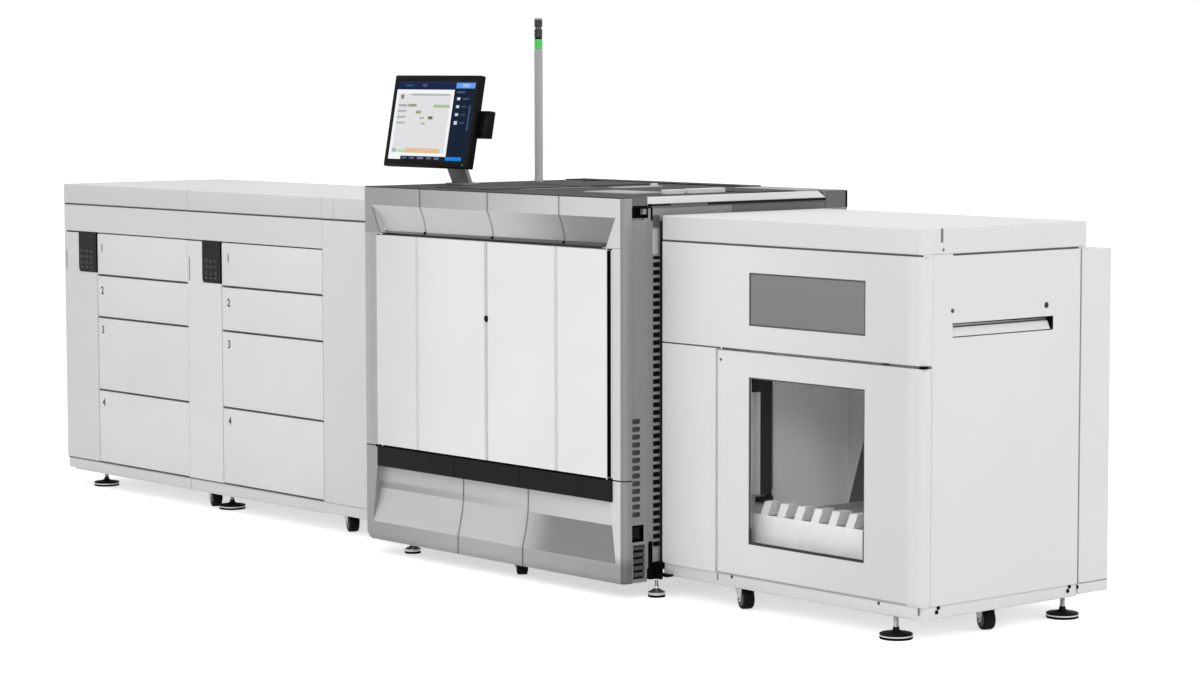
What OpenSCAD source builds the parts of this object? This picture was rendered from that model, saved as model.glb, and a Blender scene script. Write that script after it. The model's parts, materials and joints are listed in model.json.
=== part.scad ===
// Digital production printer line: paper input module, print engine and stacker.
// The line runs along X, the operator stands on the -Y side and the floor is at z = 0.

/* [Print engine] */
// Width of the print engine along the line
engine_w = 1503; // [1440:1:1700]
// Depth of the print engine from its front face to its rear cover
engine_d = 1097; // [950:1:1300]
// Height of the print engine above the floor
engine_h = 1404; // [1360:1:1500]
// Clear height under the engine's front skirt
engine_clear = 55; // [40:1:70]
// Depth of the silver front frame
front_frame_d = 46; // [44:1:60]
// Depth of the side covers and the bulkhead behind the front frame
bulkhead_d = 72; // [60:1:100]
// Distance that the silver frame stands behind the faces of the doors
frame_setback = 6; // [3:1:12]
// Width of the left post of the front frame
left_post_w = 77; // [60:1:110]
// Width of the right post of the front frame
right_post_w = 58; // [45:1:90]
// Width of the black hinge strip beside the right door
hinge_strip_w = 19; // [12:1:30]
// Rounding of the engine's right front edge
post_r = 22; // [8:1:30]
// Rounding of the engine's left front edge
left_post_r = 4; // [2:1:20]
// Height of the joint between the upper and lower front frame
frame_split_z = 418; // [410:1:440]
// Height of the upper fascia, from its lower lip to its top
upper_fascia_h = 171; // [150:1:200]
// Height of the flat band along the top of the upper fascia
upper_band_h = 66; // [40:1:90]
// Height of the flat band under the black kick strip
lower_band_h = 56; // [40:1:70]
// Height of the flat foot of the lower fascia
fascia_foot_h = 69; // [50:1:90]
// Depth of the hollows in the two fascias
scoop_d = 27; // [10:1:35]
// Height of the black kick strip
kick_strip_h = 75; // [60:1:85]
// Thickness of the dark top cover
top_cover_t = 38; // [25:1:50]
// Depth of the engine's rear cover
rear_cover_d = 112; // [60:1:150]
// Underside of the engine housing above the floor
housing_z = 100; // [90:1:130]

/* [Engine doors] */
// Thickness of the two front doors
door_t = 30; // [24:1:40]
// Running gap around doors and drawer fronts
door_gap = 5; // [5:1:8]
// Shadow gap between the doors and the upper fascia
shadow_gap = 8; // [7:1:14]
// Distance from the left edge of the left door to its groove
left_groove_x = 252; // [200:1:320]
// Distance from the right edge of the right door to its groove
right_groove_x = 275; // [220:1:330]
// Width of the grooves down the doors
groove_w = 14; // [8:1:20]
// Depth of the grooves down the doors
groove_d = 6; // [3:1:10]
// Radius of the door pivot pins
pivot_r = 4; // [3:0.5:6]
// Length of a door pivot pin in its socket
pivot_l = 12; // [8:1:20]
// Height of the finger pull at the seam between the doors
pull_z = 941; // [800:1:1100]
// Depth of the finger pull in its seat
pull_d = 8; // [5:1:15]
// Radius of the finger pull
pull_r = 12; // [8:1:20]

/* [Monitor and signal tower] */
// Width of the touch monitor
monitor_w = 532; // [450:1:620]
// Height of the touch monitor
monitor_h = 356; // [280:1:400]
// Thickness of the touch monitor
monitor_t = 28; // [20:1:40]
// Bezel at the sides and the top of the glass
bezel_w = 24; // [14:1:30]
// Bezel under the glass
chin_h = 28; // [16:1:40]
// Centre of the monitor from the engine's left side
monitor_x = 96; // [70:1:400]
// Monitor hinge behind the engine's front face
monitor_y = 298; // [260:1:420]
// Monitor hinge above the engine's top
monitor_rise = 216; // [205:1:300]
// Backward tilt of the monitor at rest, in degrees
monitor_tilt = 10.6; // [5:0.1:20]
// Centre of the arm to the right of the monitor's centre
arm_shift = 22; // [0:1:60]
// Width of the monitor arm
arm_w = 110; // [90:1:150]
// Thickness of the monitor arm
arm_t = 16; // [10:1:22]
// Foot of the arm behind the engine's front face
arm_foot_y = 388; // [350:1:500]
// Radius of the monitor's hinge pin
tilt_pin_r = 6; // [4:0.5:8]
// Height of the box at the monitor's right edge
reader_h = 103; // [70:1:120]
// Distance that the box stands out beside the monitor
reader_out = 52; // [20:1:70]
// Radius of the signal tower
tower_r = 13.5; // [10:0.5:20]
// Height of the signal tower above the engine's top
tower_h = 642; // [500:1:800]
// Height of the lamps at the tower's head
lamp_h = 126; // [90:1:160]
// Signal tower from the engine's left side
tower_x = 82; // [60:1:400]
// Signal tower behind the engine's front face
tower_y = 790; // [700:1:900]

/* [Paper input module] */
// Width of the paper input module
feeder_w = 2500; // [2350:1:2800]
// Depth of the paper input module
feeder_d = 830; // [780:1:900]
// Distance of its front face behind the engine's front face
feeder_setback = 193; // [120:1:240]
// Gap between the paper input module and the engine
feeder_gap = 5; // [3:1:20]
// Width of the end panel's front edge
end_panel_w = 108; // [60:1:140]
// Width of the left column beside the end panel
left_column_w = 162; // [140:1:200]
// Width of the column between the two drawer bays
middle_column_w = 250; // [180:1:300]
// Width of a drawer bay
bay_w = 722; // [650:1:760]
// Height of the two upper drawers of a bay
shallow_drawer_h = 180; // [150:1:210]
// Strip of the left column beside its control panel
panel_a_margin = 15; // [4:1:40]
// Strip of the middle column beside its control panel
panel_b_margin = 112; // [40:1:130]
// Height of the control panels
control_panel_h = 177; // [140:1:200]
// Radius of the cut corner of the control panels
control_panel_r = 18; // [8:1:30]

/* [Drawers] */
// Thickness of the drawer fronts
front_t = 22; // [16:1:30]
// Wall thickness of the drawer trays
tray_t = 6; // [4:1:10]
// Depth of the drawer trays behind their fronts
tray_d = 560; // [520:1:600]
// Room behind the drawer trays in their bay
tray_back_gap = 58; // [20:1:90]
// Height of the two shallow trays
shallow_tray_h = 130; // [90:1:145]
// Height of the two deep trays
deep_tray_h = 260; // [180:1:275]
// Width of the runners between a tray and its bay
runner_w = 16; // [12:1:22]
// Height of the runners
runner_h = 40; // [30:1:50]
// Length of the runners
runner_l = 520; // [400:1:560]

/* [Stacker] */
// Width of the stacker
stacker_w = 1256; // [1150:1:1400]
// Depth of the stacker's body
stacker_d = 759; // [720:1:900]
// Distance of its front face behind the engine's front face
stacker_setback = 173; // [150:1:240]
// Gap between the engine and the stacker
stacker_gap = 15; // [10:1:30]
// Depth of the rear cover behind the body
stacker_rear_d = 151; // [80:1:200]
// Distance that the top cover runs past the body at the back
cover_overhang = 24; // [0:1:60]
// Width of the fixed panel at the left of the door
left_panel_w = 272; // [220:1:330]
// Thickness of the right wall
side_wall_t = 30; // [26:1:40]
// Height of the seam over the stacker's door
door_top_z = 894; // [860:1:930]
// Thickness of the stacker's door and upper panel
panel_t = 38; // [36:1:46]
// Radius of the stacker's right front edge
corner_r = 34; // [12:1:35]
// Left edge of both windows from the stacker's left side
window_x = 441; // [400:1:480]
// Width of both windows
window_w = 551; // [450:1:600]
// Door below its window
window_low_rail = 111; // [70:1:160]
// Door above its window
window_top_rail = 83; // [50:1:120]
// Upper panel below its window
upper_low_rail = 82; // [50:1:110]
// Upper panel above its window
upper_top_rail = 88; // [50:1:110]
// Thickness of the window panes
pane_t = 5; // [4:1:8]
// Height of the tray's teeth over its deck
tooth_h = 44; // [30:1:60]
// Distance from one tooth to the next
tooth_pitch = 82; // [60:1:100]
// Width of a tooth
tooth_w = 36; // [24:1:46]
// Length of a tooth from the front of the tray to the back
tooth_l = 76; // [50:2:200]
// Top of the tray's deck above the floor
deck_z = 331; // [300:1:340]
// Room between the left panel and the stack tray
stack_left_gap = 160; // [60:1:220]
// Room between the stack tray and the right wall
stack_right_gap = 56; // [20:1:120]
// Room between the door and the stack tray
stack_front_gap = 18; // [12:1:60]
// Room behind the stack tray
stack_back_gap = 69; // [20:1:90]
// Depth of the stack tray
stack_tray_d = 520; // [450:1:530]
// Width of the paper guide bar
guide_w = 56; // [40:1:70]
// Distance of the guide bar behind the door
guide_inset = 140; // [110:1:300]
// Length of the guide bar's head in front of the bar
guide_head_l = 100; // [60:1:105]
// Height of the guide bar's head
guide_head_h = 65; // [40:1:90]
// Thickness of the guide bar
guide_t = 20; // [10:1:40]
// Lower edge of the handle slot in the right wall
handle_z = 984; // [900:1:1100]
// Height of the handle slot
handle_h = 42; // [34:1:60]
// Handle slot behind the stacker's front face
handle_inset = 133; // [80:1:180]
// Depth of the handle slot
handle_d = 22; // [10:1:24]
// Length of the handle slot
handle_l = 484; // [380:1:520]

/* [Cabinets] */
// Height of the paper input module and the stacker
cabinet_h = 1340; // [1330:1:1354]
// Height of their top covers
cabinet_cover_h = 85; // [70:1:95]
// Height of the module's upper housing between its two grooves
upper_housing_h = 115; // [90:1:130]
// Height of the grooves between covers
seam_h = 6; // [5:1:8]
// Depth of the grooves between covers
seam_d = 8; // [4:1:12]
// Top of the base frames above the floor
base_top_z = 118; // [110:1:130]
// Lower edge of the skirts above the floor
skirt_z = 75; // [66:1:80]
// Thickness of the base frames' skirts
skirt_t = 4; // [3:1:12]
// Chamfer along the edges of covers and panels
edge_c = 3; // [1:0.5:5]

/* [Feet and castors] */
// Radius of the pads under the paper input module and the stacker
pad_r = 55; // [40:1:56]
// Radius of the pads under the print engine
engine_pad_r = 31; // [26:1:40]
// Radius of the levelling feet's stems
stem_r = 9; // [7:0.5:12]
// Radius of the castor wheels
wheel_r = 36; // [30:1:37]
// Width of the castor wheels
wheel_w = 44; // [30:1:48]
// Swivel axis to wheel axle
castor_trail = 20; // [12:1:28]
// Turn of the castors from the line's direction, in degrees
castor_turn = -20; // [-35:1:0]
// Turn of the engine's castors, in degrees
engine_castor_turn = -40; // [-50:1:0]
// Distance of the module's feet from its front and rear faces
feeder_foot_inset = 90; // [80:1:120]
// Module's feet from its left side, the left pair
feeder_foot_a = 180; // [120:1:300]
// Module's feet from its left side, the right pair
feeder_foot_b = 1174; // [1000:1:1300]
// Module's castors from its left side, the right pair
feeder_castor_b = 2032; // [1900:1:2300]
// Distance of the module's castors from its front and rear faces
feeder_castor_inset = 84; // [54:1:120]
// Engine's feet from its left and right sides
engine_foot_x = 148; // [100:1:250]
// Engine's feet from its front and rear faces
engine_foot_y = 114; // [90:1:180]
// Engine's castors from its left side
engine_castor_x = 810; // [600:1:1000]
// Engine's castors from its front and rear faces
engine_castor_y = 116; // [100:1:200]
// Stacker's front foot from the right side
stacker_foot_x = 139; // [90:1:200]
// Stacker's front foot from the front face
stacker_foot_y = 25; // [24:1:60]
// Stacker's rear feet from the left and right sides
stacker_rear_foot_x = 46; // [30:1:100]
// Stacker's rear feet from the rear face
stacker_rear_foot_y = 27; // [24:1:60]
// Stacker's front and rear castors from its left side
stacker_castor_x = 366; // [300:1:500]
// Stacker's side castor from the right side
side_castor_x = 76; // [72:1:110]
// Stacker's side castor from the front face
side_castor_y = 373; // [300:1:450]

/* [Hidden] */

$fn = 48;
slop = 1;             // overlap of cutting shapes past the faces they cut
run_fit = 0.3;        // clearance where a moving piece is carried
pin_fit = 0.08;       // radial clearance of pins in their bores

silver = [0.72, 0.72, 0.73];
mid_grey = [0.50, 0.50, 0.51];
dark_grey = [0.30, 0.30, 0.31];
off_white = [0.86, 0.86, 0.85];
door_white = [0.93, 0.93, 0.93];
black = [0.08, 0.08, 0.09];
smoke = [0.45, 0.45, 0.46];

// the three machines along the line, with x = 0 at the engine's left side
feeder_x0 = -feeder_gap - feeder_w;
feeder_x1 = -feeder_gap;
feeder_y0 = feeder_setback;
feeder_y1 = feeder_setback + feeder_d;
stacker_x0 = engine_w + stacker_gap;
stacker_x1 = stacker_x0 + stacker_w;
stacker_y0 = stacker_setback;
stacker_y1 = stacker_setback + stacker_d;
line_y1 = max(engine_d, feeder_y1, stacker_y1 + max(stacker_rear_d, cover_overhang));
frame_shift = [-(feeder_x0 + stacker_x1) / 2, -line_y1 / 2, 0];

// heights shared by the two cabinets
cover_z0 = cabinet_h - cabinet_cover_h;
housing_top = cover_z0 - seam_h;
base_plate_t = 20;
castor_mount_z = base_top_z - base_plate_t;

// fine details shared by the two cabinets
base_inset = 4;           // base frame behind the faces above it
joint_w = 3;              // narrow joints between neighbouring covers
joint_d = 3;

// paper input module
end_x1 = feeder_x0 + end_panel_w;
bay_a_x0 = end_x1 + left_column_w;
bay_a_x1 = bay_a_x0 + bay_w;
bay_b_x0 = bay_a_x1 + middle_column_w;
bay_b_x1 = bay_b_x0 + bay_w;
cover_joint_gap = 80;     // second cover joint beside the right bay
bay_top = housing_top - upper_housing_h;
bay_y1 = feeder_y0 + front_t + tray_d + tray_back_gap;
drawer_clear = bay_top - base_top_z - 5 * door_gap;
deep_drawer_h = (drawer_clear - 2 * shallow_drawer_h) / 2;
tray_floor_gap = 12;      // tray bottom over the lower edge of its front
runner_rise = 14;         // runner bottom over the tray bottom
front_w = bay_w - 2 * door_gap;
tray_w = bay_w - 2 * runner_w - 2 * run_fit;
panel_seat_d = 14;        // seats of the control panels
panel_proud = 3;          // control panels in front of the columns
panel_edge = 2;           // strip left around a control panel

// heights of the four drawer fronts of a bay, from the top one down
function drawer_height(n) = n < 2 ? shallow_drawer_h : deep_drawer_h;
function tray_height(n) = n < 2 ? shallow_tray_h : deep_tray_h;
function drawer_z(n) = bay_top - door_gap - drawer_height(n)
    - (n == 0 ? 0 : n == 1 ? shallow_drawer_h + door_gap
    : n == 2 ? 2 * (shallow_drawer_h + door_gap)
    : 2 * (shallow_drawer_h + door_gap) + deep_drawer_h + door_gap);

// print engine
frame_y0 = frame_setback;
frame_y1 = front_frame_d;
side_inset = 4;           // housing behind the faces of its covers
bulkhead_y1 = front_frame_d + bulkhead_d;
housing_y1 = engine_d - rear_cover_d;
top_z0 = engine_h - top_cover_t;
fascia_top = engine_h - 4;
fascia_z0 = fascia_top - upper_fascia_h;
scoop_top = fascia_top - upper_band_h;
scoop_low = fascia_z0 + 6;
scoop_end = 42;           // scoops from the engine's sides
upper_taper = 52;         // slope of the upper scoop's ends
lower_taper = 30;         // slope of the lower scoop's ends
strip_z1 = frame_split_z - joint_w;
strip_z0 = strip_z1 - kick_strip_h;
lower_scoop_top = strip_z0 - lower_band_h;
lower_scoop_low = engine_clear + fascia_foot_h;
seam_back = 5;            // seams of the fascias behind the scoops' deepest line
upper_seams = [347, 750, 1156];
lower_seams = [568, 947];
strip_seams = [553, 935];
toe_r = 42;
post_line_w = 4;          // fine line down the left post
post_line_d = 2;
right_post_x0 = engine_w - right_post_w;
hinge_strip_x0 = right_post_x0 - hinge_strip_w;
hinge_plate_t = shadow_gap - door_gap;
door_x0 = left_post_w + door_gap;
door_x1 = hinge_strip_x0 - door_gap;
seam_shift = 3.5;         // seam between the doors left of their middle
door_mid = (door_x0 + door_x1) / 2 - seam_shift;
door_z0 = frame_split_z + door_gap;
door_z1 = fascia_z0 - shadow_gap;
pivot_edge = 14;          // pivot axis from the hinged edge and the face of a door
rail_w = 15;
rail_h = 26;
pocket_d = 18;            // pockets of the right side cover
pocket_inset = 8;         // plug and grille pockets behind the front frame
latch_h = 36;
latch_w = 60;
latch_z = top_z0 - latch_h - joint_w - 2;
plug_z = 204;
plug_h = 54;
plug_w = 46;
grille_w = 56;
grille_z0 = engine_clear + 12;
grille_z1 = plug_z - 16;

// monitor
hinge_back = 48;          // hinge axis behind the face of the monitor
hinge_low = 20;           // hinge axis below the centre of the monitor
monitor_clear = 40;       // least gap between the monitor and the cabinet beside it
hinge_z = max(engine_h + monitor_rise,
    cabinet_h + monitor_clear + monitor_h / 2 - hinge_low);
lug_gap = 1;
lug_t = 12;
lug_r = 16;
glass_d = 4;              // seat of the glass
glass_low = 1;            // face of the glass behind the bezel
reader_t = 28;
reader_in = 60;           // box behind the monitor's right edge
reader_low = 4;
arm_plate_d = 80;
arm_plate_t = 6;
arm_barrel = 3;           // barrel's wall over half of the arm's thickness
tower_foot_h = 10;
tower_foot_w = 10;
lamp_z0 = engine_h + tower_h - lamp_h;
lamp_lines = [45, 86];    // joints between the three lamps
lamp_line_w = 3;
lamp_line_d = 1.5;

// stacker
bay_s_x0 = stacker_x0 + left_panel_w;
bay_s_x1 = stacker_x1 - side_wall_t;
bay_s_y0 = stacker_y0 + panel_t + door_gap;
tray_x0 = bay_s_x0 + stack_left_gap;
tray_x1 = bay_s_x1 - stack_right_gap;
tray_y0 = bay_s_y0 + stack_front_gap;
tray_y1 = tray_y0 + stack_tray_d;
bay_s_y1 = tray_y1 + stack_back_gap;
stacker_door_x0 = bay_s_x0 + door_gap;
stacker_door_z0 = base_top_z + door_gap;
stacker_door_z1 = door_top_z - door_gap;
upper_panel_z0 = door_top_z + door_gap;
window_x0 = stacker_x0 + window_x;
window_x1 = window_x0 + window_w;
door_window = [stacker_door_z0 + window_low_rail, stacker_door_z1 - window_top_rail];
upper_window = [upper_panel_z0 + upper_low_rail, housing_top - upper_top_rail];
pane_seat = 3;            // panes lie this far behind the panel's face
rear_cover_rise = 6;      // rear cover over the lower edge of the skirt
rear_cover_drop = 4;      // rear cover under the top groove
tooth_lean = 22;
tooth_margin = 4;
guide_y0 = bay_s_y0 + guide_inset;
guide_drop = 80;          // guide bar below the door's seam
guide_z1 = door_top_z - guide_drop;
guide_z0 = deck_z + 40;
handle_y0 = stacker_y0 + handle_inset;

// pieces between the machines
bracket_in = 55;          // bracket under the engine's side
bracket_h = 40;
bracket_y0 = bulkhead_y1 + 16;
bracket_foot = [9, 18];   // its foot from the engine's side and the bracket's front
bracket_over = 4;
collar_y = [330, 900];
collar_z = [640, 1040];

// levelling feet
pad_t = 12;
cone_h = 10;
nut_h = 14;
nut_r = stem_r + 5;
feeder_feet = [for (x = [feeder_foot_a, feeder_foot_b],
    y = [feeder_y0 + feeder_foot_inset, feeder_y1 - feeder_foot_inset]) [feeder_x0 + x, y]];
engine_feet = [[engine_foot_x, engine_foot_y], [engine_foot_x, engine_d - engine_foot_y],
    [engine_w - engine_foot_x, engine_d - engine_foot_y]];
stacker_feet = [[stacker_x1 - stacker_foot_x, stacker_y0 + stacker_foot_y],
    [stacker_x1 - stacker_rear_foot_x, stacker_y1 - stacker_rear_foot_y],
    [stacker_x0 + stacker_rear_foot_x, stacker_y1 - stacker_rear_foot_y]];

// castors: the plate, the crown over the wheel, its cheeks and the axle
axle_r = 5;
cheek_t = 3;
wheel_gap = 1;            // between a wheel and its cheeks
crown_gap = 3;            // between a wheel and its crown
crown_t = 4;
castor_plate = 26;
swivel_r = 16;
cheek_half = 14;          // half of a cheek's length
castor_gap = 2;           // between a wheel and the skirt beside it
castor_foot_gap = 11;     // between a castor and the pad beside it
feeder_castor_a = feeder_foot_b - pad_r - castor_foot_gap - castor_trail - wheel_r;
castor_inset = base_inset + skirt_t + castor_gap
    + abs(sin(castor_turn)) * (castor_trail + wheel_r) + cos(castor_turn) * wheel_w / 2;

// castors as [x, y, height of the mounting face, direction of the wheel]
castors = [
    for (x = [feeder_castor_a, feeder_castor_b])
        [feeder_x0 + x, feeder_y0 + feeder_castor_inset, castor_mount_z, castor_turn],
    for (x = [feeder_castor_a, feeder_castor_b])
        [feeder_x0 + x, feeder_y1 - feeder_castor_inset, castor_mount_z, -castor_turn],
    [engine_castor_x, engine_castor_y, housing_z, engine_castor_turn],
    [engine_castor_x, engine_d - engine_castor_y, housing_z, -engine_castor_turn],
    [stacker_x0 + stacker_castor_x, stacker_y0 + castor_inset, castor_mount_z, castor_turn],
    [stacker_x0 + stacker_castor_x, stacker_y1 - castor_inset, castor_mount_z, -castor_turn],
    [stacker_x1 - side_castor_x, stacker_y0 + side_castor_y, castor_mount_z, castor_turn]];

// ---------------------------------------------------------------- helpers

// places a piece of the line in the part's frame
module in_frame() translate(frame_shift) children();

// block between three pairs of coordinates
module block(x, y, z) translate([x[0], y[0], z[0]])
    cube([x[1] - x[0], y[1] - y[0], z[1] - z[0]]);

// block with all its edges chamfered by c
module eased_block(x, y, z, c = edge_c) hull() {
    block(x, [y[0] + c, y[1] - c], [z[0] + c, z[1] - c]);
    block([x[0] + c, x[1] - c], y, [z[0] + c, z[1] - c]);
    block([x[0] + c, x[1] - c], [y[0] + c, y[1] - c], z);
}

// cutter that rounds a vertical edge; at turn 0 the block lies towards +x and +y
module edge_cutter(x, y, r, turn, z) translate([x, y, z[0] - slop]) rotate([0, 0, turn])
    linear_extrude(z[1] - z[0] + 2 * slop) difference() {
        translate([-slop, -slop]) square(r + slop);
        translate([r, r]) circle(r);
    }

// cutter that rounds the lower left corner of a front, depth d along +y
module lower_corner_cutter(r, d) rotate([-90, 0, 0]) mirror([0, 1, 0])
    linear_extrude(d) difference() {
        translate([-slop, -slop]) square(r + slop);
        translate([r, r]) circle(r);
    }

// narrow joint centred on x
module joint_line(x, y, z) block([x - joint_w / 2, x + joint_w / 2], y, z);

// upright cylinder from z[0] to z[1]
module post(x, y, z, r) translate([x, y, z[0]]) cylinder(h = z[1] - z[0], r = r);

// top cover of a cabinet with its recessed seam below and narrow joints across
module cabinet_cover(x, y, joints) difference() {
    union() {
        eased_block(x, y, [cover_z0, cabinet_h]);
        block([x[0] + seam_d, x[1] - seam_d], [y[0] + seam_d, y[1] - seam_d],
            [housing_top, cover_z0 + slop]);
    }
    for (jx = joints)
        joint_line(jx, [y[0] - slop, y[1] + slop], [cabinet_h - joint_d, cabinet_h + slop]);
    for (jx = joints)
        joint_line(jx, [y[0] - slop, y[0] + joint_d], [cover_z0 - slop, cabinet_h + slop]);
}

// base frame of a cabinet: a plate with a skirt hanging below it
module cabinet_base(x, y) difference() {
    eased_block(x, y, [skirt_z, base_top_z]);
    block([x[0] + skirt_t, x[1] - skirt_t], [y[0] + skirt_t, y[1] - skirt_t],
        [skirt_z - slop, castor_mount_z]);
}

// ---------------------------------------------------------------- paper input module

module feeder_base() in_frame() color(off_white)
    cabinet_base([feeder_x0 + base_inset, feeder_x1 - base_inset],
        [feeder_y0 + base_inset, feeder_y1 - base_inset]);

module feeder_end_panel() in_frame() color(off_white)
    eased_block([feeder_x0, end_x1], [feeder_y0, feeder_y1], [base_top_z, housing_top]);

// closed column with a recessed seam under the upper housing
module column(x0, x1) difference() {
    block([x0, x1], [feeder_y0, feeder_y1], [base_top_z, bay_top]);
    block([x0 - slop, x1 + slop], [feeder_y0 - slop, feeder_y0 + seam_d],
        [bay_top - seam_h, bay_top + slop]);
}

// seat of a control panel in a column between x0 and x1
module panel_seat(x0, x1) block([x0, x1 + slop], [feeder_y0 - slop, feeder_y0 + panel_seat_d],
    [bay_top - control_panel_h, bay_top + slop]);

module feeder_left_column() in_frame() color(off_white) difference() {
    column(end_x1, bay_a_x0);
    panel_seat(end_x1 + panel_a_margin, bay_a_x0);
}

module feeder_middle_column() in_frame() color(off_white) difference() {
    column(bay_a_x1, bay_b_x0);
    panel_seat(bay_a_x1 + panel_b_margin, bay_b_x0);
}

module feeder_right_cabinet() in_frame() color(off_white)
    eased_block([bay_b_x1, feeder_x1], [feeder_y0, feeder_y1], [base_top_z, housing_top]);

module feeder_back_housing() in_frame() color(off_white) {
    block([bay_a_x0, bay_a_x1], [bay_y1, feeder_y1], [base_top_z, bay_top]);
    block([bay_b_x0, bay_b_x1], [bay_y1, feeder_y1], [base_top_z, bay_top]);
}

module feeder_upper_housing() in_frame() color(off_white)
    block([end_x1, bay_b_x1], [feeder_y0, feeder_y1], [bay_top, housing_top]);

module feeder_top_cover() in_frame() color(off_white)
    cabinet_cover([feeder_x0, feeder_x1], [feeder_y0, feeder_y1],
        [bay_a_x1, bay_b_x1, bay_b_x1 + cover_joint_gap]);

// one control panel in its seat, its lower left corner rounded
module control_panel(seat_x0, x1) {
    x0 = seat_x0 + panel_edge;
    z0 = bay_top - control_panel_h + panel_edge;
    difference() {
        block([x0, x1], [feeder_y0 - panel_proud, feeder_y0 + panel_seat_d],
            [z0, bay_top - panel_edge]);
        translate([x0, feeder_y0 - panel_proud - slop, z0])
            lower_corner_cutter(control_panel_r, panel_seat_d + panel_proud + 2 * slop);
    }
}

module control_panels() in_frame() color(black) {
    control_panel(end_x1 + panel_a_margin, bay_a_x0);
    control_panel(bay_a_x1 + panel_b_margin, bay_b_x0);
}

module drawer_runners() in_frame() color(silver)
    for (bay = [bay_a_x0, bay_b_x0], n = [0 : 3], side = [0, 1])
        let (x0 = bay + side * (bay_w - runner_w),
            z0 = drawer_z(n) + tray_floor_gap + runner_rise)
            block([x0, x0 + runner_w], [bay_y1 - runner_l, bay_y1], [z0, z0 + runner_h]);

// drawer n of a bay: its front and an open tray behind it
module drawer(bay_x0, n) {
    z0 = drawer_z(n);
    tray_z = z0 + tray_floor_gap;
    tray_x = bay_x0 + runner_w + run_fit;
    tray_y = feeder_y0 + front_t;
    eased_block([bay_x0 + door_gap, bay_x0 + door_gap + front_w],
        [feeder_y0, feeder_y0 + front_t], [z0, z0 + drawer_height(n)]);
    difference() {
        block([tray_x, tray_x + tray_w], [tray_y - edge_c - slop, tray_y + tray_d],
            [tray_z, tray_z + tray_height(n)]);
        block([tray_x + tray_t, tray_x + tray_w - tray_t],
            [tray_y, tray_y + tray_d - tray_t],
            [tray_z + tray_t, tray_z + tray_height(n) + slop]);
    }
}

module drawer_a1() in_frame() color(off_white) drawer(bay_a_x0, 0);
module drawer_a2() in_frame() color(off_white) drawer(bay_a_x0, 1);
module drawer_a3() in_frame() color(off_white) drawer(bay_a_x0, 2);
module drawer_a4() in_frame() color(off_white) drawer(bay_a_x0, 3);
module drawer_b1() in_frame() color(off_white) drawer(bay_b_x0, 0);
module drawer_b2() in_frame() color(off_white) drawer(bay_b_x0, 1);
module drawer_b3() in_frame() color(off_white) drawer(bay_b_x0, 2);
module drawer_b4() in_frame() color(off_white) drawer(bay_b_x0, 3);

// ---------------------------------------------------------------- print engine

module engine_housing() in_frame() color(mid_grey)
    block([side_inset, engine_w - side_inset], [bulkhead_y1, housing_y1], [housing_z, top_z0]);

module engine_rear_cover() in_frame() color(mid_grey)
    eased_block([0, engine_w], [housing_y1, engine_d], [housing_z, engine_h]);

module engine_top_cover() in_frame() color(dark_grey) difference() {
    block([0, engine_w], [frame_y1, housing_y1], [top_z0, engine_h]);
    block([engine_w - rail_w, engine_w + slop], [bulkhead_y1, housing_y1 + slop],
        [engine_h - rail_h, engine_h + slop]);
}

module engine_top_rail() in_frame() color(door_white)
    eased_block([engine_w - rail_w, engine_w], [bulkhead_y1, housing_y1],
        [engine_h - rail_h, engine_h], 2);

module engine_left_post() in_frame() color(silver) difference() {
    block([0, left_post_w], [frame_y0, frame_y1], [frame_split_z, fascia_z0]);
    edge_cutter(0, frame_y0, left_post_r, 0, [frame_split_z, fascia_z0]);
    block([(left_post_w - post_line_w) / 2, (left_post_w + post_line_w) / 2],
        [frame_y0 - slop, frame_y0 + post_line_d],
        [frame_split_z - slop, fascia_z0 + slop]);
}

module engine_right_post() in_frame() color(silver) difference() {
    block([right_post_x0, engine_w], [frame_y0, frame_y1], [frame_split_z, fascia_z0]);
    edge_cutter(engine_w, frame_y0, post_r, 90, [frame_split_z, fascia_z0]);
}

// block as wide as the engine less x at both ends, over the depth of the scoops
module scoop_block(x, z) block([x, engine_w - x],
    [frame_y0 - slop, frame_y0 + scoop_d + slop], z);

// profile from the face at z0 to its deepest at z1, extruded along the engine
module scoop_profile(z0, z1, z_end) translate([0, frame_y0, 0]) rotate([90, 0, 90])
    linear_extrude(engine_w)
        polygon([[-slop, z0], [0, z0],
            for (t = [0.2 : 0.2 : 1]) [scoop_d * sin(90 * t), z0 + (z1 - z0) * t],
            [scoop_d, z_end], [-slop, z_end]]);

// hollow of the upper fascia, deepest at its lower edge
module upper_scoop() intersection() {
    scoop_profile(scoop_top, scoop_low, fascia_z0 - slop);
    hull() {
        scoop_block(scoop_end, [scoop_top - slop, scoop_top + slop]);
        scoop_block(scoop_end + upper_taper, [fascia_z0 - 2 * slop, fascia_z0 - slop]);
    }
}

// hollow of the lower fascia, deepest at its upper edge
module lower_scoop() intersection() {
    scoop_profile(lower_scoop_low, lower_scoop_top, strip_z0 + slop);
    hull() {
        scoop_block(scoop_end, [lower_scoop_low - slop, lower_scoop_low]);
        scoop_block(scoop_end + lower_taper, [strip_z0, strip_z0 + slop]);
    }
}

module upper_fascia() in_frame() color(silver) difference() {
    block([0, engine_w], [frame_y0, frame_y1], [fascia_z0, fascia_top]);
    edge_cutter(0, frame_y0, left_post_r, 0, [fascia_z0, fascia_top]);
    edge_cutter(engine_w, frame_y0, post_r, 90, [fascia_z0, fascia_top]);
    upper_scoop();
    for (x = upper_seams)
        joint_line(x, [frame_y0 - slop, frame_y0 + scoop_d + seam_back],
            [fascia_z0 - slop, fascia_top + slop]);
}

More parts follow.
